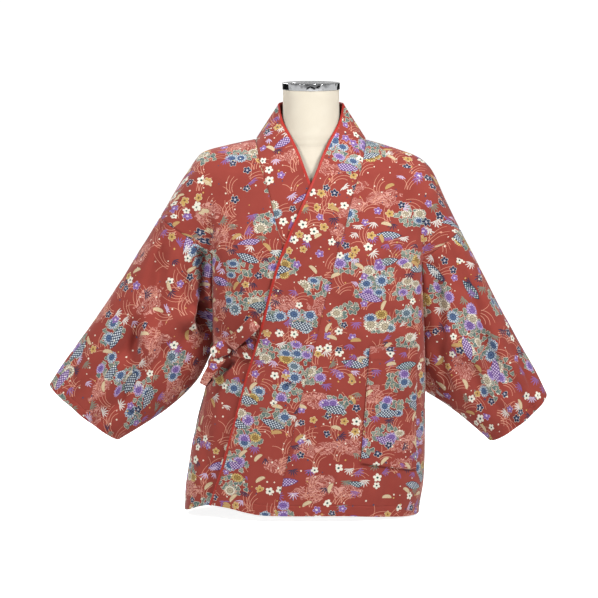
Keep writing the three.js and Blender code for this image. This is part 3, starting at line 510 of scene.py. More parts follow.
class Grid:
    """Outer points of a piece of cloth, rows by columns, and their places on the flat cut."""

    def __init__(self, name, points, flat, wall, middle, rows=None, closed=False):
        self.name, self.points, self.flat = name, points, flat
        self.wall, self.rows, self.closed = wall, rows, closed
        self.lift = np.zeros(points.shape[:2])
        self.normals = grid_normals(points, closed)
        self.outward = 1 if np.sum((points - middle) * self.normals) > 0 else -1
        self.normals *= self.outward

    @property
    def kind(self):
        return self.name.split("_")[0]

    def border(self):
        mask = np.zeros(self.points.shape[:2], bool)
        mask[[0, -1]] = True
        if not self.closed:
            mask[:, [0, -1]] = True
        return mask

    def from_border(self, border):
        """Distance along the cloth from one border, for every point."""
        axis = 0 if border in ("top", "foot") else 1
        points = np.flip(self.points, axis) if border in ("foot", "outer") else self.points
        away = running(np.linalg.norm(np.diff(points, axis=axis), axis=2), axis)
        return np.flip(away, axis) if border in ("foot", "outer") else away

    def inset(self, border, distance=SEAM_GAP / 2):
        """Moves one border away from its neighbour."""
        rows = self.points
        pairs = {"top": (np.s_[0], np.s_[1]), "foot": (np.s_[-1], np.s_[-2]),
            "inner": (np.s_[:, 0], np.s_[:, 1]), "outer": (np.s_[:, -1], np.s_[:, -2])}
        edge, towards = pairs[border]
        rows[edge] = rows[edge] + unit(rows[towards] - rows[edge]) * distance


def grid_normals(points, closed):
    if closed:
        across = np.roll(points, -1, 1) - np.roll(points, 1, 1)
    else:
        across = np.gradient(points, axis=1)
    return unit(np.cross(np.gradient(points, axis=0), across))


def share_normals(grids):
    """Points on the borders of neighbouring pieces get one common normal."""
    masks = [grid.border() for grid in grids]
    points = np.concatenate([grid.points[mask] for grid, mask in zip(grids, masks)])
    normals = np.concatenate([grid.normals[mask] for grid, mask in zip(grids, masks)])
    keys, owner = np.unique(np.round(points / SAME_POINT).astype(int), axis=0, return_inverse=True)
    total = np.zeros((len(keys), 3))
    np.add.at(total, owner.ravel(), normals)
    common = unit(total)[owner.ravel()]
    start = 0
    for grid, mask in zip(grids, masks):
        count = int(mask.sum())
        grid.normals[mask] = common[start:start + count]
        start += count


def running(steps_along, axis):
    """Running length along an axis from the steps between its points."""
    start = np.zeros_like(np.take(steps_along, [0], axis))
    return np.concatenate([start, np.cumsum(steps_along, axis)], axis)


def flat_panel(points, outward):
    """Flat places of an upright panel: across the weft from the middle, and up the warp."""
    move = np.diff(points, axis=1)
    across = running(np.hypot(move[..., 0], move[..., 1]), 1) * outward + points[:, :1, 0]
    rise = np.diff(points, axis=0)
    length = running(np.hypot(rise[..., 1], rise[..., 2]), 0)
    return np.stack([across, points[-1:, :, 2] + length[-1:] - length], -1)


def flat_strip(points, outward):
    """Flat places of a strip that is cut along its length: measured beside its middle line."""
    middle = points[:, points.shape[1] // 2]
    way = unit(np.gradient(middle, axis=0))[:, None]
    length = running(np.linalg.norm(np.diff(middle, axis=0), axis=1), 0)[:, None]
    off = points - middle[:, None]
    ahead = np.sum(off * way, -1, keepdims=True)
    beside = np.linalg.norm(off - ahead * way, axis=-1)
    beside[:, :points.shape[1] // 2] *= -1
    return np.stack([beside * outward, length[-1] - length - ahead[..., 0]], -1)


SEWN_BORDERS = {"front": ("top", "inner", "outer"), "back": ("top", "inner", "outer"),
    "collar": ("outer", "top"), "sleeve": ("top",)}
# How far the face rolls down into a seam, over which width, and how steeply
SEAM_ROLL, SEAM_REACH, SEAM_STEEP = 1.5, 3.6, 3
HEM_TURN = {"front": 20, "back": 20, "collar": 20, "sleeve": 14}    # height of the turned-up hem
HEM_SINK, HEM_LINE = 0.55, 1.1         # depth and width of the line where the hem is sewn


def make_panels():
    grids = {}
    for side in SIDES:
        for kind, point, rows, columns, wall, flatten in (
                ("front", panel_point, FRONT_ROWS, PANEL_COLUMNS, CLOTH, flat_panel),
                ("back", panel_point, BACK_ROWS, PANEL_COLUMNS, CLOTH, flat_panel),
                ("collar", strip_point, STRIP_ROWS, STRIP_COLUMNS, COLLAR, flat_strip)):
            name = f"{kind}_{side.name}"
            points = point(side, rows[:, None], columns[None, :])
            middle = points * (0, 0, 1)
            middle[..., 2] = np.minimum(middle[..., 2], MIDDLE_Z)
            grids[name] = Grid(name, points, flatten(points, side.sign), wall, middle, rows)
        grids[f"sleeve_{side.name}"] = make_sleeve(side)
    for grid in grids.values():
        push_creases(grid)
    share_normals(list(grids.values()))
    for grid in grids.values():
        for border in SEWN_BORDERS[grid.kind]:
            grid.inset(border)
        if grid.kind == "collar":
            grid.inset("inner", PIPING_WIDTH + SEAM_GAP)
        sink_seams(grid)
    return grids


def sink_seams(grid):
    """Lowers the outer face beside sewn borders, so that each seam reads as a soft groove."""
    for border in SEWN_BORDERS[grid.kind]:
        away = grid.from_border(border)
        grid.lift = np.minimum(grid.lift, -SEAM_ROLL * np.exp(-(away / SEAM_REACH) ** 2 * SEAM_STEEP))
    hem = (grid.from_border("foot") - HEM_TURN[grid.kind]) / HEM_LINE
    grid.lift = np.minimum(grid.lift, -HEM_SINK * np.exp(-hem ** 2))


FACE_BLEND = 6             # depth over which a sleeve's front creases give way to its back ones
ARMHOLE_FADE = 0.035       # part of the sleeve over which its creases set in
EDGE_FADE = (0.9, 1)       # columns over which a panel's creases die out towards the armhole
ARMHOLE_END = 1.02         # row below which they run on to the side seam


def push_creases(grid):
    """Moves a grid's points in or out by the creases of its face."""
    x, z = grid.points[..., 0], grid.points[..., 2]
    if grid.kind == "sleeve":
        front = crease_depth(CREASES[grid.name + "_front"], x, z)
        back = crease_depth(CREASES[grid.name + "_back"], x, z)
        facing = smoothstep(-FACE_BLEND, FACE_BLEND, -grid.points[..., 1])
        depth = smoothstep(0, ARMHOLE_FADE, SLEEVE_RINGS)[:, None] * (front * facing + back * (1 - facing))
    elif grid.kind == "collar":
        depth = crease_depth(CREASES[grid.name.replace("collar", "front")], x, z) * (grid.rows > 0)[:, None]
    else:
        beside_armhole = (np.abs(grid.rows) <= ARMHOLE_END)[:, None]
        kept = 1 - smoothstep(*EDGE_FADE, PANEL_COLUMNS)[None, :] * beside_armhole
        depth = crease_depth(CREASES[grid.name], x, z) * kept
    grid.points -= grid.normals * depth[..., None]
    grid.normals = grid_normals(grid.points, grid.closed) * grid.outward


def make_sleeve(side):
    """A sleeve's grid: the front half's columns from the upper fold, then the back half's."""
    around = np.concatenate([UPPER_ROWS[:-1], -UPPER_ROWS[:0:-1]])
    points = sleeve_point(side, SLEEVE_RINGS[:, None], around[None, :])
    middle = points.mean(1, keepdims=True)
    grid = Grid(f"sleeve_{side.name}", points, None, CLOTH, middle, closed=True)
    fold = {end: np.array([side.sleeve["top_x"](end), side.sleeve["top_z"](end)]) for end in (0, 1)}
    way = unit(fold[1] - fold[0])
    out, up = points[..., 0] * side.sign - fold[0][0], points[..., 2] - fold[0][1]
    along, down = out * way[0] + up * way[1], out * way[1] - up * way[0]
    ring = np.stack([down, points[..., 1]], -1)
    ring = np.concatenate([ring, ring[:, :1]], 1)
    turn = running(np.linalg.norm(np.diff(ring, axis=1), axis=2), 1)
    half = len(UPPER_ROWS) - 1
    along = np.concatenate([along[:, :half + 1], along[:, half:], along[:, :1]], 1)
    front = -down[:, :1] - turn[:, :half + 1]
    back = turn[:, -1:] - down[:, :1] - turn[:, half:]
    grid.flat = np.stack([along * side.sign, np.concatenate([front, back], 1)], -1)
    return grid


# Where on the bolt each piece is cut, in millimetres
CUT_FROM = {"front_left": (0, 0), "front_right": (2310, 140), "back_left": (5170, -260),
    "back_right": (7400, 330), "collar_left": (9700, 90), "collar_right": (12150, -410),
    "sleeve_left": (14500, 210), "sleeve_right": (17300, -70), "pocket": (19800, 45)}


# ---------------------------------------------------------------- meshes
def new_object(name, points, faces, flats, material, face_slots=None, sharp=50):
    """A smooth mesh object from points in millimetres, with the cloth's flat places in metres as UVs."""
    mesh = bpy.data.meshes.new(name)
    mesh.from_pydata((np.asarray(points) * MM).tolist(), [], faces)
    layer = mesh.uv_layers.new(name="Cloth")
    layer.uv.foreach_set("vector", (np.asarray(flats, np.float32) * MM).ravel())
    materials = material if isinstance(material, (list, tuple)) else [material]
    for one in materials:
        mesh.materials.append(one)
    if face_slots is not None:
        mesh.polygons.foreach_set("material_index", np.asarray(face_slots, np.int32))
    mesh.polygons.foreach_set("use_smooth", np.ones(len(mesh.polygons), bool))
    mesh.set_sharp_from_angle(angle=math.radians(sharp))
    mesh.validate()
    mesh.update()
    made = bpy.data.objects.new(name, mesh)
    bpy.context.scene.collection.objects.link(made)
    return made


def is_inside_out(points, faces):
    """True if the faces of a closed mesh point inwards."""
    volume = 0
    for size in {len(face) for face in faces}:
        some = np.array([face for face in faces if len(face) == size])
        for k in range(1, size - 1):
            a, b, c = (points[some[:, i]] for i in (0, k, k + 1))
            volume += np.sum(a * np.cross(b, c))
    return volume < 0


def wall_object(grid, material, reverse):
    """The wall of a grid: its outer points, inner ones a wall's thickness in, and the rims."""
    height, width = grid.points.shape[:2]
    outer = (grid.points + grid.normals * grid.lift[..., None]).reshape(-1, 3)
    inner = (grid.points - grid.normals * grid.wall).reshape(-1, 3)
    points = np.concatenate([outer, inner])
    index = np.arange(height * width).reshape(height, width)
    left, right = index, np.roll(index, -1, 1)
    flat_width = grid.flat.shape[1]
    places = np.arange(height * flat_width).reshape(height, flat_width)
    if grid.closed:
        half = width // 2
        start = np.concatenate([np.arange(half), np.arange(half, width) + 1])
        flat_left, flat_right = places[:, start], places[:, start + 1]
    else:
        left, right = index[:, :-1], index[:, 1:]
        flat_left, flat_right = places[:, :-1], places[:, 1:]
    under = height * width

    def quads(a, b):
        return np.stack([a[:-1], a[1:], b[1:], b[:-1]], -1).reshape(-1, 4)

    faces = [quads(left, right), quads(left, right)[:, ::-1] + under]
    flats = [quads(flat_left, flat_right), quads(flat_left, flat_right)[:, ::-1]]
    rims = []
    for row, turn in ((0, 1), (-1, -1)):
        rims.append((np.stack([left[row], right[row], right[row] + under, left[row] + under], -1)[:, ::turn],
            np.stack([flat_left[row], flat_right[row], flat_right[row], flat_left[row]], -1)[:, ::turn]))
    if not grid.closed:
        for column, turn in ((0, -1), (-1, 1)):
            up, down = index[:-1, column], index[1:, column]
            flat_up, flat_down = places[:-1, column], places[1:, column]
            rims.append((np.stack([up, down, down + under, up + under], -1)[:, ::turn],
                np.stack([flat_up, flat_down, flat_down, flat_up], -1)[:, ::turn]))
    faces += [rim for rim, _ in rims]
    flats += [flat for _, flat in rims]
    slots = np.concatenate([np.full(len(part), 1 if n == 1 else 0) for n, part in enumerate(faces)])
    faces, flats = np.concatenate(faces), np.concatenate(flats)
    if is_inside_out(points, faces.tolist()):
        faces, flats = faces[:, ::-1], flats[:, ::-1]
    flat_places = grid.flat.reshape(-1, 2)[flats.ravel()] + CUT_FROM[grid.name]
    return new_object(grid.name, points, faces.tolist(), flat_places, [material, reverse], slots)


def loft_object(name, rings, material, along=None, sharp=50):
    """A closed solid through rings of points, with flat ends."""
    rings = np.asarray(rings, float)
    height, width = rings.shape[:2]
    points = rings.reshape(-1, 3)
    index = np.arange(height * width).reshape(height, width)
    left, right = index, np.roll(index, -1, 1)
    faces = np.stack([left[:-1], right[:-1], right[1:], left[1:]], -1).reshape(-1, 4).tolist()
    closed = np.concatenate([rings, rings[:, :1]], 1)
    around = running(np.linalg.norm(np.diff(closed, axis=1), axis=2), 1)
    middle = rings.mean(1)
    if along is None:
        along = running(np.linalg.norm(np.diff(middle, axis=0), axis=1)[:, None], 0)[:, 0]
    flat = np.stack([around, np.broadcast_to(along[:, None], around.shape)], -1)
    flat_index = np.arange(height * (width + 1)).reshape(height, width + 1)
    flats = np.stack([flat_index[:-1, :-1], flat_index[:-1, 1:], flat_index[1:, 1:], flat_index[1:, :-1]], -1)
    flats = flats.reshape(-1, 4).tolist()
    for ring, turn in ((0, -1), (height - 1, 1)):
        faces.append(index[ring, ::turn].tolist())
        flats.append(flat_index[ring, :-1][::turn].tolist())
    if is_inside_out(points, faces):
        faces = [face[::-1] for face in faces]
        flats = [face[::-1] for face in flats]
    loops = [place for face in flats for place in face]
    return new_object(name, points, faces, flat.reshape(-1, 2)[loops], material, sharp=sharp)


# ---------------------------------------------------------------- small pieces
POCKET_TOP = {"in_x": 110, "in_z": 333, "out_x": 199, "out_z": 326}
POCKET_FOOT = {"in_x": 93, "in_z": 112, "out_x": 197, "out_z": 92}
POCKET_EASE = 0.8          # share of the front's creases that the pocket follows

# Folded bands of the tie: middle line, direction across, and width at both ends.
# "off" is a distance from the front's inner layer, in place of y.
BANDS = {
    "tie_strap": {"across": (0, 0, 1), "width": (44, 14), "line": table("x off z",
        (-88, 1.9, 326), (-102, 2, 324), (-116, 2, 321), (-132, 2.2, 319), (-148, 3, 319))},
    "tie_side": {"across": (0, 0, 1), "width": (22, 16), "line": table("x y z",
        (-195.4, -3, 279), (-194.6, -18, 283), (-190, -38, 293), (-182, -60, 307),
        (-182, -88.6, 322.5))},
    "tie_loop": {"across": (-0.7, 0, 0.7), "width": (26, 26), "line": table("x y z",
        (-150.4, -101, 334.6), (-140, -107, 345), (-122, -114, 362), (-110, -119, 374),
        (-105, -125, 379), (-109, -131, 375), (-122, -128, 362), (-139, -119, 346),
        (-153, -108.5, 332))},
    "tie_tail": {"across": (0.86, 0, -0.51), "width": (25, 14), "line": table("x y z",
        (-171, -98, 311), (-178, -98, 300), (-188, -95, 284), (-198, -91, 268), (-204, -88, 256))},
}
BAND_SQUARE, BAND_RINGS, BAND_CORNERS = 0.45, 60, 28
KNOT = {"x": -170, "y": -97, "z": 324, "half_x": 20, "half_y": 9, "half_z": 15, "square": 0.6,
    "turn": -0.5, "wrap": 0.07, "wraps": 3.2, "rings": 48, "corners": 72, "tip": 0.02}
PIPING_SQUARE, PIPING_CORNERS = 0.85, 16
FORM_POWER = 2.3           # squareness of the form's ovals
FORM_NECK_Z = 720          # height from which the form's rings lie closer together
# Rings of the form. "fill" is how far the base of the neck is filled out in front, so that the
# neck runs into the chest.
FORM = table("z half front back fill",
    (0, 108, 52, 80, 0), (2, 116, 60, 87, 0), (8, 127, 72, 96, 0), (25, 145, 88, 106, 0),
    (60, 158, 99, 112, 0), (115, 165, 104, 114, 0), (180, 156, 100, 100, 0), (250, 134, 93, 88, 0),
    (315, 118, 88, 78, 0), (380, 126, 96, 84, 0), (440, 140, 107, 92, 0), (480, 147, 111, 96, 0),
    (530, 155, 107, 98, 0), (590, 168, 93, 96, 0), (640, 179, 80, 86, 0), (668, 180, 68, 74, 3),
    (682, 173, 57, 61, 9), (691, 161, 50, 53, 13), (697, 142, 45, 49, 16), (704, 119, 43, 48, 16),
    (709, 103, 44, 47, 14.5), (715, 84, 45, 51, 12), (724, 67, 47, 52, 9), (736, 59, 48, 53, 6),
    (752, 55, 49, 54, 3.5), (770, 53.5, 50, 55, 1), (807, 53, 50, 56, 0))
NECK_FILL_HALF = 38
CAP = {"radius": 54.5, "z": 807.3, "top_z": 820.5, "centre_y": 3, "edge": 1.2}
ROUND = 128                # corners of a round ring


def squared(turn, power):
    """Places on a ring between a circle (power 1) and a square (power 0), from -1 to 1 both ways."""
    return [np.sign(v) * np.abs(v) ** power for v in (np.cos(turn), np.sin(turn))]


def squared_ring(corners, power):
    return squared(2 * math.pi * (np.arange(corners) + 0.5) / corners, power)


def piping_rings(side):
    """Rounded rings along a strip's free edge."""
    edge = strip_point(side, STRIP_ROWS, np.zeros_like(STRIP_ROWS))
    across = unit(strip_point(side, STRIP_ROWS, np.full_like(STRIP_ROWS, 0.2)) - edge)
    along = unit(np.gradient(edge, axis=0))
    along[0] = (side.sign, 0, 0)
    out = unit(np.cross(along, across))
    out[np.sum(out * edge * (1, 1, 0), -1) < 0] *= -1
    middle = edge + across * PIPING_WIDTH / 2 - out * COLLAR / 2
    middle[0, 0] += side.sign * SEAM_GAP / 2
    reach, rise = squared_ring(PIPING_CORNERS, PIPING_SQUARE)
    return (middle[:, None] + across[:, None] * (PIPING_WIDTH / 2 * reach)[None, :, None]
        + out[:, None] * (PIPING_THICK / 2 * rise)[None, :, None])


def spline(points, count):
    """Evenly numbered points on a centripetal spline through given ones, and its directions."""
    ends = [2 * points[0] - points[1], *points, 2 * points[-1] - points[-2]]
    place = np.linspace(0, len(points) - 1, count)
    made = []
    for value in place:
        i = min(int(value), len(points) - 2)
        four = ends[i:i + 4]
        gaps = [math.sqrt(np.linalg.norm(b - a)) for a, b in zip(four, four[1:])]
        start = (four[1] - four[0]) / gaps[0] - (four[2] - four[0]) / (gaps[0] + gaps[1])
        start = (start + (four[2] - four[1]) / gaps[1]) * gaps[1]
        end = (four[2] - four[1]) / gaps[1] - (four[3] - four[1]) / (gaps[1] + gaps[2])
        end = (end + (four[3] - four[2]) / gaps[2]) * gaps[1]
        t = value - i
        made.append(four[1] + start * t + (3 * (four[2] - four[1]) - 2 * start - end) * t ** 2
            + (2 * (four[1] - four[2]) + start + end) * t ** 3)
    made = np.array(made)
    return made, unit(np.gradient(made, axis=0))


def band_rings(band):
    """Rings of a flat folded band with soft edges."""
    line = band["line"]
    if "off" in line:
        y = layer_point(RIGHT, line["x"], line["z"])[:, 1] - line["off"]
    else:
        y = line["y"]
    middle, along = spline(np.stack([line["x"], y, line["z"]], -1), BAND_RINGS)
    across = np.broadcast_to(np.array(band["across"], float), middle.shape)
    side = unit(across - along * np.sum(across * along, -1, keepdims=True))
    out = np.cross(along, side)
    reach = np.linspace(*band["width"], BAND_RINGS) / 2
    wide, high = squared_ring(BAND_CORNERS, BAND_SQUARE)
    return (middle[:, None] + side[:, None] * (reach[:, None] * wide[None])[..., None]
        + out[:, None] * (TIE_THICK / 2 * high)[None, :, None])


def knot_rings():
    """The knot: a flat wrapped lump, in rings from one end to the other, turned in its plane."""
    around = np.linspace(0, 2 * math.pi, KNOT["corners"], endpoint=False)[None, :]
    along = np.linspace(KNOT["tip"], math.pi - KNOT["tip"], KNOT["rings"])[:, None]
    ends, fat = np.cos(along), np.sin(along) ** KNOT["square"]
    wrap = 1 + KNOT["wrap"] * np.sin(KNOT["wraps"] * along + 1) * np.sin(along)
    reach = squared(around, KNOT["square"])
    x, z = KNOT["half_x"] * ends + 0 * around, KNOT["half_z"] * fat * wrap * reach[0]
    cos, sin = math.cos(KNOT["turn"]), math.sin(KNOT["turn"])
    return points_of(
        KNOT["x"] - x * cos + z * sin,
        KNOT["y"] - KNOT["half_y"] * fat * wrap * reach[1],
        KNOT["z"] + x * sin + z * cos)


def form_rings():
    """The dress form, in oval rings from its foot to its neck."""
    top = FORM["z"][-1]
    height = np.unique(np.concatenate(
        [FORM["z"], np.linspace(0, FORM_NECK_Z, 121), np.linspace(FORM_NECK_Z, top, 30)]))
    turn = np.linspace(0, 2 * math.pi, ROUND, endpoint=False)
    half, front, back, fill = (curve(FORM, "z", key)(height)[:, None] for key in list(FORM)[1:])
    bend = squared(turn, 2 / FORM_POWER)
    depth = np.where(np.sin(turn)[None] < 0, front, back)
    x = half * bend[0]
    fill = fill * np.exp(-(x / NECK_FILL_HALF) ** 2) * np.clip(-np.sin(turn), 0, 1)[None] ** 0.5
    return points_of(x, depth * bend[1] - fill, height[:, None])


def cap_rings():
    """The metal disc on the form's neck."""
    low, high, radius, edge = CAP["z"], CAP["top_z"], CAP["radius"], CAP["edge"]
    corner = np.linspace(0, math.pi / 2, 6)
    r = [0.5, radius * 0.5, *(radius - edge + edge * np.sin(corner))]
    z = [low, low, *(low + edge - edge * np.cos(corner))]
    r = np.array(r + r[::-1])
    z = np.array(z + [low + high - value for value in z[::-1]])
    turn = np.linspace(0, 2 * math.pi, ROUND, endpoint=False)
    return points_of(r[:, None] * np.cos(turn), CAP["centre_y"] + r[:, None] * np.sin(turn), z[:, None])


def pocket_grid():
    """The patch pocket: the front's own surface between its corners, moved out."""
    down = steps(0, 1, 64, (0.006, 0.994))[:, None]
    column = (1 - (1 - steps(0, 1, 56, (0.012, 0.99))) ** POCKET_CROWDING)[None, :]
    corner = {key: lerp(POCKET_TOP[key], POCKET_FOOT[key], down) for key in POCKET_TOP}
    x = lerp(corner["in_x"], corner["out_x"], column)
    z = lerp(corner["in_z"], corner["out_z"], column)
    ease = crease_depth(CREASES["front_left"], x, z) * POCKET_EASE
    points = on_front(x, z, np.full(x.shape, CLOTH + POCKET_GAP) - ease)
    return Grid("pocket", points, flat_panel(points, 1), CLOTH, points * (0, 0, 1))


# ---------------------------------------------------------------- shader graphs
DYE = 0.74                     # share of light that a dye sends back, as it looks in the studio's light


def rgb(red, green, blue, share=DYE):
    """A colour given as 0..255 display values, in linear light."""
    values = (channel / 255 for channel in (red, green, blue))
    linear = (v / 12.92 if v < 0.04045 else ((v + 0.055) / 1.055) ** 2.4 for v in values)
    return (*(v * share for v in linear), 1.0)


class Value:
    """A number in a shader graph. Arithmetic on it adds Math nodes: & is the smaller, | the greater."""

    def __init__(self, graph, socket):
        self.graph, self.socket = graph, socket

    def __rsub__(self, other):
        return self.graph.math("SUBTRACT", other, self)

    def linear(self, scale, shift):
        """scale times the value plus shift."""
        return self.graph.math("MULTIPLY_ADD", self, scale, shift)


def math_method(operation):
    return lambda *values: values[0].graph.math(operation, *values)


for method, operation in {
        "__add__": "ADD", "__radd__": "ADD", "__sub__": "SUBTRACT", "__mul__": "MULTIPLY",
        "__rmul__": "MULTIPLY", "__truediv__": "DIVIDE", "__pow__": "POWER", "__lt__": "LESS_THAN",
        "__gt__": "GREATER_THAN", "__and__": "MINIMUM", "__or__": "MAXIMUM", "__abs__": "ABSOLUTE",
        "sin": "SINE", "cos": "COSINE", "fract": "FRACT", "sqrt": "SQRT"}.items():
    setattr(Value, method, math_method(operation))


class Graph:
    """The node tree of a material, with a few short ways to add nodes."""

    def __init__(self, name):
        self.material = bpy.data.materials.new(name)
        self.material.use_nodes = True
        self.tree = self.material.node_tree
        self.shader = self.tree.nodes["Principled BSDF"]

    def put(self, node, socket, value):
        if isinstance(value, Value):
            value = value.socket
        if isinstance(value, bpy.types.NodeSocket):
            self.tree.links.new(value, node.inputs[socket])
        else:
            node.inputs[socket].default_value = value

    def node(self, kind, inputs, **settings):
        """Adds a node with these settings, and sets or links its inputs."""
        made = self.tree.nodes.new(kind)
        for name, value in settings.items():
            setattr(made, name, value)
        for socket, value in inputs.items():
            self.put(made, socket, value)
        return made

    def surface(self, colour, roughness, gloss=None, sheen=None):
        """Sets the shader's colour and its whole-surface values."""
        for socket, value in (("Base Color", colour), ("Roughness", roughness),
                ("Specular IOR Level", gloss), ("Sheen Weight", sheen)):
            if value is not None:
                self.put(self.shader, socket, value)

    def math(self, operation, *values):
        made = self.node("ShaderNodeMath", dict(enumerate(values)), operation=operation)
        return Value(self, made.outputs[0])

    def vector(self, operation, *values):
        return self.node("ShaderNodeVectorMath", dict(enumerate(values)), operation=operation).outputs[0]

    def split(self, vector):
        return [Value(self, output) for output in self.node("ShaderNodeSeparateXYZ", {0: vector}).outputs]

    def turned(self, vector, angle):
        inputs = {"Vector": vector, "Angle": angle}
        return self.node("ShaderNodeVectorRotate", inputs, rotation_type="Z_AXIS").outputs[0]

    def noise(self, vector, scale, detail=0.0, roughness=0.5, distortion=0.0):
        inputs = {"Vector": vector, "Scale": scale, "Detail": detail, "Roughness": roughness,
            "Distortion": distortion}
        return Value(self, self.node("ShaderNodeTexNoise", inputs, noise_dimensions="2D").outputs[0])

    def ramp(self, value, *stops):
        """Bands of colour without blending: each stop is where a band starts and its colour."""
        made = self.node("ShaderNodeValToRGB", {0: value})
        made.color_ramp.interpolation = "CONSTANT"
        for i, (at, colour) in enumerate(stops):
            element = made.color_ramp.elements[i] if i < 2 else made.color_ramp.elements.new(at)
            element.position = at
            element.color = rgb(*colour)
        return made.outputs[0]

    def ramps(self, value, rows):
        """One ramp for each column of colours in a table that starts with where each row begins."""
        starts, *columns = zip(*rows)
        return [self.ramp(value, *zip(starts, column)) for column in columns]

    def paint(self, below, colour, mask):
        """The colour laid over what is below it, where the mask is 1."""
        below, colour = (rgb(*one) if isinstance(one, tuple) else one for one in (below, colour))
        return self.node("ShaderNodeMix", {0: mask, 6: below, 7: colour}, data_type="RGBA").outputs[2]

    def bump(self, height, distance, strength):
        inputs = {"Strength": strength, "Distance": distance, "Height": height}
        self.put(self.shader, "Normal", self.node("ShaderNodeBump", inputs).outputs[0])

    def cloth_place(self):
        """Place on the flat cloth, in millimetres."""
        flat = self.node("ShaderNodeUVMap", {}, uv_map="Cloth").outputs[0]
        place = self.vector("SCALE", flat)
        self.put(place.node, "Scale", 1 / MM)
        return place


class Cells:
    """Scattered motif centres: a motif's own coordinates in millimetres, and its random numbers."""

    def __init__(self, graph, place, width, height, seed, loose=1.0):
        size = (width, height, 1)
        inverse = (1 / width, 1 / height, 0)
        scaled = graph.vector("MULTIPLY_ADD", place, inverse, (seed * 3.17, seed * 7.31, 0))
        inputs = {"Vector": scaled, "Scale": 1.0, "Randomness": loose}
        cell = graph.node("ShaderNodeTexVoronoi", inputs, voronoi_dimensions="2D").outputs
        self.offset = graph.vector("MULTIPLY", graph.vector("SUBTRACT", scaled, cell["Position"]), size)
        self.x, self.y, _ = graph.split(self.offset)
        self.random = graph.split(cell["Color"])
        self.centre = graph.vector("SUBTRACT", place, self.offset)
        self.graph = graph

    def polar(self, stretch=1.0, turn=0.0):
        """Distance from the motif's centre, and direction round it in radians."""
        y = self.y * stretch
        far = (self.x * self.x + y * y).sqrt()
        return far, self.graph.math("ARCTAN2", y, self.x) + turn


# ---------------------------------------------------------------- the print
# The cloth is parted into areas that each hold one kind of motif. The kind is the area's random
# number, and these are upper limits: clusters of chrysanthemums, pine clouds, lattice ovals with
# bamboo, and sprigs of blossoms.
AREA = {"width": 64, "height": 47, "seed": 2.0}
AREA_MIDDLE = (29, 19)         # half width and height of the middle part of an area
CLUSTER, CLOUD, LENS, SPRIG = 0.38, 0.60, 0.70, 0.88
FULL_TURN = 6.28

# Colours as they look on the finished cloth. A first column says from which random number on the
# row's colours are taken.
GROUND, REVERSE = ((152, 58, 48), (168, 70, 58)), ((140, 56, 46), (154, 68, 56))
PINE, GRASS_BLADE = (236, 176, 162), (232, 166, 140)
LEAF_VEIN, LEAF_RIM, FAN_LINE = (38, 52, 62), (212, 212, 196), (150, 96, 64)
LEAF = ((0, (138, 150, 134)), (0.4, (166, 172, 154)), (0.75, (112, 134, 126)))
BAMBOO = ((0, (236, 234, 226)), (0.22, (142, 104, 170)), (0.5, (40, 50, 80)),
    (0.68, (126, 140, 124)), (0.84, (212, 194, 226)))
FAN = ((0, (238, 218, 178)), (0.7, (214, 176, 112)))
BUD = ((0, (246, 240, 222)), (0.55, (222, 184, 104)), (0.75, (60, 74, 104)))
CHRYSANTHEMUM = (              # petal tips, petal hearts, outlines
    (0, (204, 180, 226), (172, 138, 204), (92, 62, 138)),
    (0.24, (198, 212, 224), (116, 146, 186), (36, 54, 98)),
    (0.5, (246, 238, 216), (238, 226, 192), (128, 110, 90)),
    (0.74, (228, 198, 120), (214, 172, 92), (112, 84, 44)),
    (0.88, (206, 218, 222), (150, 172, 180), (46, 66, 92)))
LATTICE = (                    # ground, lattice
    (0, (30, 44, 76), (222, 232, 238)),
    (0.55, (38, 62, 82), (206, 220, 222)),
    (0.75, (98, 62, 134), (220, 200, 230)))
BLOSSOM = (                    # petals, rims, hearts
    (0, (248, 244, 228), (248, 244, 228), (64, 88, 82)),
    (0.3, (36, 48, 82), (222, 220, 210), (190, 188, 200)),
    (0.56, (138, 96, 168), (206, 184, 222), (226, 210, 236)),
    (0.82, (210, 170, 96), (236, 222, 186), (130, 92, 56)))

# Cells that the motifs are strewn in: width, height, seed of their random numbers and looseness
CELLS = {"leaf": (10.0, 8.8, 5.0, 0.8), "chrysanthemum": (27, 22, 9.0, 0.8),
    "bamboo": (29, 23, 13.0, 0.9), "blossom": (24, 20.64, 17.0, 0.85),
    "fan": (52, 43, 21.0, 1.0), "bud": (14, 12.5, 27.0, 1.0)}
GRASSES = ((31.0, 58), (37.0, 49))     # seed and size of the cells of tufts

# Blades of a tuft: radius of the arc, side to which it bends, where it starts, share of the radius
# that it reaches sideways
GRASS = table("radius side start reach",
    (19, 1, 1, 0.95), (27, 1, -3, 0.85), (38, 1, -8, 0.6), (23, -1, 4, 0.8))
GRASS_SHARE = 0.58
BLADE_HALF, BLADE_TAPER = 0.50, 0.006
LEAF_SIZE, LEAF_LOBE, LEAF_OUTLINE = 3.4, 2.1, 0.8
PETALS = 12
LENS_SHIFT = (3, 11, 0)
LENS_HALF, LENS_CURVE, LATTICE_PITCH = 7.6, 0.0124, 0.17
BAMBOO_STEP, BAMBOO_LONG, BAMBOO_HALF = 0.5, 15.5, 0.95


def oval(x, y, half_x, half_y):
    """0 at the centre and 1 on an oval of these half sizes."""
    return (x / half_x) * (x / half_x) + (y / half_y) * (y / half_y)


def area_at(graph, centre):
    """Kind of the area round a motif's centre, and how far out in the area that lies."""
    area = Cells(graph, centre, **AREA)
    return area.random[0], oval(area.x, area.y, *AREA_MIDDLE)


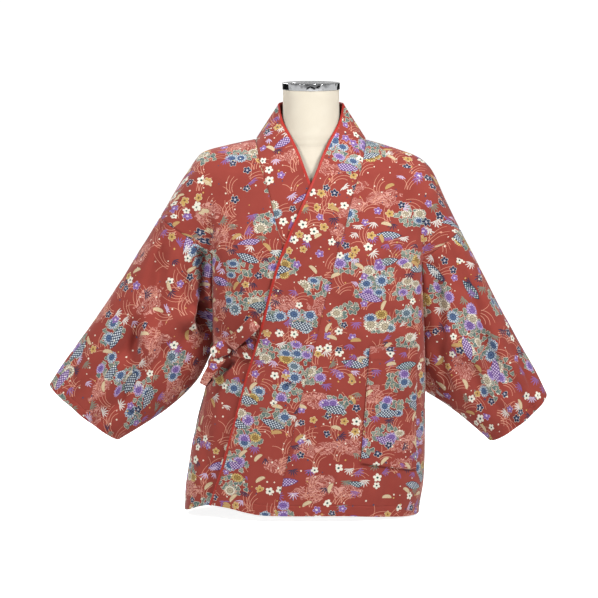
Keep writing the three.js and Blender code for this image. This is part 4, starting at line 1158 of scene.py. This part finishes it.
def draw_clouds(graph, place, colour, area):
    """Clouds of pine needles: broken ovals filled with fine curling lines."""
    rough = graph.noise(place, 0.045, detail=2.0)
    stretched = graph.vector("MULTIPLY", place, (0.75, 1.15, 0))
    curls = graph.noise(stretched, 0.085, detail=1.0, roughness=0.45, distortion=0.7)
    inside = (oval(area.x, area.y, 36, 17) + rough.linear(3.0, -1.4)) < 0.9
    line = abs((curls * 7.0).fract() - 0.5) < 0.17
    chosen = (area.random[0] > CLUSTER) & (area.random[0] < CLOUD)
    return graph.paint(colour, PINE, inside & chosen & line.linear(0.74, 0.06))


def draw_grass(graph, place, colour, seed, size):
    """Tufts of long grass: each blade is an arc that leaves the root and bends over sideways."""
    cells = Cells(graph, place, size, size * 0.8, seed)
    x, y, _ = graph.split(graph.turned(cells.offset, cells.random[1].linear(2.2, -1.1)))
    y = y + size * 0.28
    blades = None
    for blade in rows_of(GRASS):
        aside = x * blade["side"] - blade["start"]
        from_middle = aside - blade["radius"]
        line = abs((from_middle * from_middle + y * y).sqrt() - blade["radius"])
        tip = cells.random[2].linear(0.25, blade["reach"] - 0.15) * blade["radius"]
        one = (line < y.linear(-BLADE_TAPER, BLADE_HALF)) & (y > 0) & (aside < tip)
        blades = one if blades is None else blades | one
    return graph.paint(colour, GRASS_BLADE, blades & (cells.random[0] < GRASS_SHARE))


def draw_leaves(graph, place, colour):
    """Small three-lobed leaves that fill the chrysanthemum areas."""
    cells = Cells(graph, place, *CELLS["leaf"])
    far, angle = cells.polar(1.0, cells.random[1] * FULL_TURN)
    edge = abs((angle * 1.5).cos()).linear(LEAF_LOBE, LEAF_SIZE)
    kind, out = area_at(graph, cells.centre)
    vein = (abs((angle * 3.0).sin()) < 0.44) & (far > 0.7)
    leaf = graph.paint(graph.ramp(cells.random[2], *LEAF), LEAF_VEIN, vein)
    leaf = graph.paint(leaf, LEAF_RIM, far > (edge - LEAF_OUTLINE))
    return graph.paint(colour, leaf, (far < edge) & ((kind < CLUSTER) & (out < 1.1)))


def draw_chrysanthemums(graph, place, colour):
    """Round and oval chrysanthemums with two rings of outlined petals."""
    cells = Cells(graph, place, *CELLS["chrysanthemum"])
    far, angle = cells.polar(cells.random[2].linear(0.75, 1.0), cells.random[1] * FULL_TURN)
    radius = cells.random[0].linear(3.2, 10.6)
    edge = radius * (abs((angle * (PETALS / 2)).cos()) ** 0.6).linear(0.34, 0.7)
    inner = far < (radius * 0.52)
    between = abs(inner - abs((angle * (PETALS / 2)).sin()))      # the inner ring's petals lie turned
    line = (between < 0.4) & (far > 1.7) & (far < (edge - 0.7))
    ring = (abs(far - radius * 0.52) < 0.5) | (far < 1.5)
    tip, heart, dark = graph.ramps((cells.random[1] * 3.7).fract(), CHRYSANTHEMUM)
    flower = graph.paint(graph.paint(tip, heart, inner), dark, line | ring)
    kind, out = area_at(graph, cells.centre)
    return graph.paint(colour, flower, (far < edge) & ((kind < CLUSTER) & (out < 0.95)))


def draw_lenses(graph, colour, area):
    """Pointed ovals with a fine slanting lattice."""
    turn = area.random[2].linear(0.7, -0.35)
    x, y, _ = graph.split(graph.turned(graph.vector("ADD", area.offset, LENS_SHIFT), turn))
    half = LENS_HALF - x * x * LENS_CURVE
    stripes = [(slant * LATTICE_PITCH).fract() < 0.62 for slant in (x + y, x - y * 1.2)]
    dark, pale = graph.ramps((area.random[2] * 5.1).fract(), LATTICE)
    shape = graph.paint(dark, pale, stripes[0] & stripes[1] & (abs(y) < (half - 0.8)))
    chosen = (area.random[0] > CLOUD) & (area.random[0] < LENS)
    chosen = chosen | (area.random[0] < (CLUSTER * 0.45))
    return graph.paint(colour, shape, (abs(y) < half) & chosen)


def draw_bamboo(graph, place, colour):
    """Sprays of narrow bamboo leaves, the middle one longest."""
    cells = Cells(graph, place, *CELLS["bamboo"])
    far, angle = cells.polar(1.0, cells.random[1].linear(2.6, 0.3))
    part = angle / BAMBOO_STEP
    share = (part + 0.5).fract() - 0.5
    number = abs(part - share)
    along = far / number.linear(-1.3, BAMBOO_LONG)
    width = along.linear(3.1416, 0).sin() * BAMBOO_HALF
    leaf = ((far * abs(share) * BAMBOO_STEP) < width) & (number < 3.4) & (along < 1.0)
    kind, out = area_at(graph, cells.centre)
    chosen = ((kind > CLOUD) & (kind < LENS)) | ((cells.random[0] < 0.22) & (kind > CLUSTER))
    chosen = chosen | ((cells.random[0] < 0.32) & (out > 0.95))
    return graph.paint(colour, graph.ramp(cells.random[2], *BAMBOO), leaf & chosen)


def draw_blossoms(graph, place, colour):
    """Five-petalled plum blossoms: sprigs in their own areas, and some in between."""
    cells = Cells(graph, place, *CELLS["blossom"])
    far, angle = cells.polar(1.1, cells.random[1] * FULL_TURN)
    radius = cells.random[2].linear(2.2, 7.0)
    edge = radius * (abs((angle * 2.5).cos()) ** 0.6).linear(0.55, 0.45)
    fill, rim, heart = graph.ramps((cells.random[2] * 7.3).fract(), BLOSSOM)
    flower = graph.paint(fill, rim, far > (edge - 0.8))
    flower = graph.paint(flower, heart, far < (radius * 0.26))
    kind, out = area_at(graph, cells.centre)
    sprig = (kind > LENS) & (kind < SPRIG) & (cells.random[0] < 0.75)
    return graph.paint(colour, flower, (far < edge) & (sprig | ((cells.random[0] < 0.2) & (out > 0.8))))


def draw_seeds(graph, place, colour):
    """Half fans in cream and tiny round buds."""
    cells = Cells(graph, place, *CELLS["fan"])
    x, y, _ = graph.split(graph.turned(cells.offset, cells.random[1].linear(2.4, -1.2)))
    inside = oval(x, y, 10.5, 6.0)
    kind, out = area_at(graph, cells.centre)
    fan = (inside < 1.0) & (y > -1.4) & (cells.random[0] < 0.5) & ((kind > CLUSTER) | (out > 0.9))
    rib = ((x * 0.5).fract() < 0.22) | (inside > 0.84)
    colour = graph.paint(colour, graph.paint(graph.ramp(cells.random[2], *FAN), FAN_LINE, rib), fan)
    buds = Cells(graph, place, *CELLS["bud"])
    bud = (buds.polar()[0] < buds.random[2].linear(0.9, 0.9)) & (buds.random[0] < 0.27)
    return graph.paint(colour, graph.ramp(buds.random[1], *BUD), bud)


def crepe(name, shades, printed):
    """Crepe with its fine grain, and on its face the print."""
    graph = Graph(name)
    place = graph.cloth_place()
    colour = graph.paint(*shades, graph.noise(place, 0.02, detail=2.0))
    if printed:
        area = Cells(graph, place, **AREA)
        colour = draw_clouds(graph, place, colour, area)
        for seed, size in GRASSES:
            colour = draw_grass(graph, place, colour, seed, size)
        colour = draw_leaves(graph, place, colour)
        colour = draw_chrysanthemums(graph, place, colour)
        colour = draw_lenses(graph, colour, area)
        colour = draw_bamboo(graph, place, colour)
        colour = draw_blossoms(graph, place, colour)
        colour = draw_seeds(graph, place, colour)
    graph.surface(colour, roughness=0.82, gloss=0.25, sheen=0.12)
    graph.bump(graph.noise(place, 1.1, detail=1.0), 0.0004, 0.35)
    return graph.material


# ---------------------------------------------------------------- other materials
def satin(name):
    """Bias-cut satin of the piping, with a fine slanting twill and a soft gloss."""
    graph = Graph(name)
    place = graph.cloth_place()
    x, y, _ = graph.split(place)
    twill = abs(((x + y) * 1.1).fract() - 0.5)
    tone = graph.noise(place, 0.35, detail=2.0)
    graph.surface(graph.paint((176, 32, 20), (200, 44, 28), tone), roughness=0.5, gloss=0.35, sheen=0.1)
    graph.bump(twill + tone * 0.8, 0.0003, 0.6)
    return graph.material


def thread(name):
    """Twisted red sewing thread."""
    graph = Graph(name)
    x, y, _ = graph.split(graph.cloth_place())
    ply = abs(((x - y) * 2.4).fract() - 0.5)
    graph.surface(graph.paint((112, 34, 28), (158, 58, 48), ply), roughness=0.6)
    graph.bump(ply, 0.0001, 0.5)
    return graph.material


def jersey(name):
    """Cream knit cover: rows of small knit loops, and a slightly uneven tone."""
    graph = Graph(name)
    place = graph.cloth_place()
    x, y, _ = graph.split(place)
    wale = abs((x * 0.62).fract() - 0.5)
    loops = abs((y * 0.8 + wale * 1.4).fract() - 0.5)
    tone = graph.noise(place, 0.03, detail=2.0)
    graph.surface(graph.paint((231, 221, 201), (238, 229, 211), tone), roughness=0.88, gloss=0.2, sheen=0.08)
    graph.bump(wale + loops * 0.7, 0.0004, 0.35)
    return graph.material


def chrome(name):
    """Polished plate with faint turning marks and a little uneven gloss."""
    graph = Graph(name)
    place = graph.cloth_place()
    marks = graph.noise(graph.vector("MULTIPLY", place, (0.06, 2.4, 0)), 1.0, detail=2.0)
    waves = graph.noise(graph.vector("MULTIPLY", place, (0.05, 0.035, 0)), 1.0, detail=1.0)
    graph.surface(graph.paint((196, 197, 199), (214, 215, 217), marks), roughness=marks.linear(0.1, 0.04))
    graph.put(graph.shader, "Metallic", 1.0)
    graph.bump(waves + marks * 0.01, 0.0035, 1.0)
    return graph.material


def paper(name):
    """The pale studio floor, which shines a little by itself."""
    graph = Graph(name)
    graph.surface((0.8, 0.8, 0.8, 1), roughness=0.9)
    graph.put(graph.shader, "Emission Color", (1, 1, 1, 1))
    graph.put(graph.shader, "Emission Strength", 0.9)
    return graph.material


def felt(name):
    """Black felt of the studio's boards."""
    graph = Graph(name)
    graph.surface((0.012, 0.012, 0.013, 1), roughness=0.95, gloss=0.1)
    return graph.material


CREPE = crepe("crepe_print", GROUND, printed=True)
LINING = crepe("crepe_reverse", REVERSE, printed=False)
PIPING = satin("piping_satin")
THREAD = thread("sewing_thread")
JERSEY = jersey("form_jersey")
METAL = chrome("neck_disc_chrome")
FLOOR = paper("floor_paper")
BOARD = felt("board_felt")


# ---------------------------------------------------------------- the object
def place(piece, node, slot):
    """Puts a piece in its CAD node's place."""
    piece.name = f"{node}_shown"
    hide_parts(node)
    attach(piece, "root")
    return piece


STITCH = {"pitch": 3.6, "long": 2.4, "thick": 0.55, "inset": 2.2, "sunk": 0.06, "arch": 0.28}
STITCH_RINGS = ((0, 0.3), (0.12, 0.8), (0.5, 1.0), (0.88, 0.8), (1, 0.3))    # part of its length, fatness
STITCH_CORNERS = 6
STITCH_LIFT = 0.05
POCKET_HEM = 25


def stitch_rings(line, normals):
    """Rings of small rounded stitches along a line of points on cloth, one array a stitch."""
    at = running(np.linalg.norm(np.diff(line, axis=0), axis=1)[:, None], 0)[:, 0]

    def sample(rows, place):
        return np.stack([np.interp(place, at, rows[:, i]) for i in range(3)], -1)

    turn = 2 * math.pi * np.arange(STITCH_CORNERS)[:, None] / STITCH_CORNERS
    for centre in np.arange(STITCH["pitch"] / 2, at[-1] - STITCH["long"] / 2, STITCH["pitch"]):
        start, end = sample(line, centre + np.array([-0.5, 0.5]) * STITCH["long"])
        out = unit(sample(normals, np.array([centre])))[0]
        side = np.cross(unit(end - start), out)
        rings = []
        for share, fat in STITCH_RINGS:
            middle = lerp(start, end, share) + out * (STITCH["arch"] * fat - STITCH["sunk"])
            half = STITCH["thick"] / 2 * fat
            rings.append(middle + side * half * np.cos(turn) + out * half * np.sin(turn))
        yield np.concatenate(rings)


def stitches_object(name, grid, lines):
    """All the stitches of a piece: each line is given by its rows and columns on the grid."""
    raised = grid.points + grid.normals * STITCH_LIFT
    stitches = [rings for line in lines for rings in stitch_rings(raised[line], grid.normals[line])]
    n, last = STITCH_CORNERS, (len(STITCH_RINGS) - 1) * STITCH_CORNERS
    one = [(low + i, low + (i + 1) % n, low + n + (i + 1) % n, low + n + i)
        for low in range(0, last, n) for i in range(n)]
    one += [tuple(range(n - 1, -1, -1)), tuple(range(last, last + n))]
    points = np.concatenate(stitches)
    faces = [tuple(k * (last + n) + i for i in face) for k in range(len(stitches)) for face in one]
    if is_inside_out(points, [face for face in faces if len(face) == 4]):
        faces = [face[::-1] for face in faces]
    loops = [place for face in faces for place in face]
    return new_object(name, points, faces, points[loops][:, [0, 2]], THREAD)


def nearest(values, wanted):
    return int(np.argmin(np.abs(values - wanted)))


def pocket_stitches(grid):
    """Stitches round the sides and foot of the pocket, and along its turned-down top."""
    row, column = len(grid.points) // 2, grid.points.shape[1] // 2
    inner = nearest(grid.from_border("inner")[row], STITCH["inset"])
    outer = nearest(grid.from_border("outer")[row], STITCH["inset"])
    foot = nearest(grid.from_border("foot")[:, column], STITCH["inset"])
    hem = nearest(grid.from_border("top")[:, column], POCKET_HEM)
    sides, across = np.s_[2:foot], np.s_[inner:outer]
    return stitches_object("pocket_stitches", grid,
        [(sides, inner), (sides, outer), (foot, across), (hem, across)])


# Cut of each piece of cloth: width and length in metres, flat area, how it is held and what holds it
SHEETS = {
    "front_left": (0.355, 0.792, 0.190, "draped", ["form", "front_right"]),
    "front_right": (0.367, 0.787, 0.183, "draped", ["form"]),
    "back_left": (0.283, 0.760, 0.187, "draped", ["form"]),
    "back_right": (0.301, 0.756, 0.183, "draped", ["form"]),
    "sleeve_left": (0.700, 0.370, 0.152, "hung", ["front_left", "back_left"]),
    "sleeve_right": (0.630, 0.400, 0.204, "hung", ["front_right", "back_right"]),
    "collar_left": (0.135, 0.950, 0.096, "draped", ["front_left", "back_left"]),
    "collar_right": (0.135, 0.950, 0.096, "draped", ["front_right", "back_right"]),
    "pocket": (0.123, 0.241, 0.026, "hung", ["front_left"]),
    "tie_strap": (0.044, 0.064, 0.0019, "folded", ["front_right"]),
    "tie_side": (0.022, 0.098, 0.0019, "folded", ["front_right"]),
    "tie_loop": (0.027, 0.144, 0.0038, "folded", ["tie_knot"]),
    "tie_tail": (0.022, 0.064, 0.0014, "hung", ["tie_knot"]),
    "tie_knot": (0.042, 0.037, 0.0015, "folded", ["front_right"]),
}
SEWN_ON = {"collar_left": ["piping_left"], "collar_right": ["piping_right"],
    "pocket": ["pocket_stitches"]}


def declare_sheets(pieces):
    for name, (width, length, area, held, below) in SHEETS.items():
        [pieces[other] for other in SEWN_ON.get(name, ())]
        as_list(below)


def dress():
    """All the pieces, by the names of the nodes that they stand for."""
    made = {}
    for name, grid in make_panels().items():
        made[name] = place(wall_object(grid, CREPE, LINING), name, "crepe")
    patch = pocket_grid()
    made["pocket"] = place(wall_object(patch, CREPE, LINING), "pocket", "crepe")
    made["pocket_stitches"] = pocket_stitches(patch)
    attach(made["pocket_stitches"], "root")
    for side in SIDES:
        name = f"piping_{side.name}"
        made[name] = place(loft_object(name, piping_rings(side), PIPING), name, "piping")
    for name, band in BANDS.items():
        made[name] = place(loft_object(name, band_rings(band), CREPE), name, "crepe")
    made["tie_knot"] = place(loft_object("tie_knot", knot_rings(), CREPE), "tie_knot", "crepe")
    made["form"] = place(loft_object("form", form_rings(), JERSEY), "form", "form_skin")
    made["cap"] = place(loft_object("cap", cap_rings(), METAL), "cap", "neck_disc")
    declare_sheets(made)
    return made


# ---------------------------------------------------------------- floor, light and camera
FLOOR_SIZE = 120
# Dark boards that only reflections see: direction from the front in degrees, and width in metres
BOARDS = table("turn wide", (2, 3.4), (-138, 3.6), (152, 2.6))
BOARD_FAR, BOARD_MIDDLE, BOARD_TALL = 3.0, 0.5, 0.9
# Lamps: place, height aimed at, width of the square lamp, power
LAMPS = {
    "key": ((1.15, -1.3, 2.05), 0.45, 0.6, 52),
    "second key": ((-1.25, -1.15, 2.05), 0.45, 0.5, 32),
    "back": ((-1.4, 2.2, 2.0), 0.5, 1.0, 40),
}
WORLD = ((0.06, 0.62), (0.2, 0.22))       # height of the direction, and level of grey
CAMERA = {"x": -0.0228, "y": -9.0, "z": 1.356, "aim_z": 0.409, "lens": 286.7, "sensor": 36}


def floor(pieces):
    """The floor. Its own shine lights only itself and the disc, so undersides stay dark."""
    bpy.ops.mesh.primitive_plane_add(size=FLOOR_SIZE, location=(0, 0, 0))
    made = bpy.context.object
    made.name = "floor"
    made.data.materials.append(FLOOR)
    lit = bpy.data.collections.new("lit_by_floor")
    lit.objects.link(made)
    lit.objects.link(pieces["cap"])
    made.light_linking.receiver_collection = lit


def boards():
    for board in rows_of(BOARDS):
        turn = math.radians(board["turn"])
        place = (BOARD_FAR * math.sin(turn), -BOARD_FAR * math.cos(turn), BOARD_MIDDLE)
        bpy.ops.mesh.primitive_plane_add(size=1, location=place, rotation=(math.pi / 2, 0, turn))
        made = bpy.context.object
        made.name = f"board_{int(board['wide'] * 10)}"
        made.scale = (board["wide"], BOARD_TALL, 1)
        made.data.materials.append(BOARD)
        made.visible_camera = made.visible_diffuse = made.visible_shadow = False


def aim(made, place, target):
    """Puts a lamp or camera in its place and turns it to what it looks at."""
    made.location = place
    made.rotation_euler = (Vector(target) - Vector(place)).to_track_quat("-Z", "Y").to_euler()
    bpy.context.scene.collection.objects.link(made)


def lamps():
    for name, (place, aim_z, size, power) in LAMPS.items():
        lamp = bpy.data.lights.new(name, "AREA")
        lamp.shape = "RECTANGLE"
        lamp.size = lamp.size_y = size
        lamp.energy = power
        aim(bpy.data.objects.new(name, lamp), place, (0, 0, aim_z))


def world():
    """Light from all round, brighter near the horizon than above."""
    made = bpy.data.worlds.new("studio")
    made.use_nodes = True
    tree = made.node_tree
    place = tree.nodes.new("ShaderNodeTexCoord")
    height = tree.nodes.new("ShaderNodeSeparateXYZ")
    shade = tree.nodes.new("ShaderNodeValToRGB")
    for element, (at, level) in zip(shade.color_ramp.elements, WORLD):
        element.position, element.color = at, (level, level, level, 1)
    tree.links.new(place.outputs["Generated"], height.inputs[0])
    tree.links.new(height.outputs["Z"], shade.inputs[0])
    tree.links.new(shade.outputs[0], tree.nodes["Background"].inputs["Color"])
    bpy.context.scene.world = made


def camera():
    lens = bpy.data.cameras.new("camera")
    lens.lens, lens.sensor_width = CAMERA["lens"], CAMERA["sensor"]
    made = bpy.data.objects.new("camera", lens)
    aim(made, (CAMERA["x"], CAMERA["y"], CAMERA["z"]), (CAMERA["x"], 0, CAMERA["aim_z"]))
    bpy.context.scene.camera = made
    bpy.context.scene.view_settings.view_transform = "Standard"


PIECES = dress()
floor(PIECES)
boards()
world()
lamps()
camera()

bpy.context.view_layer.update()
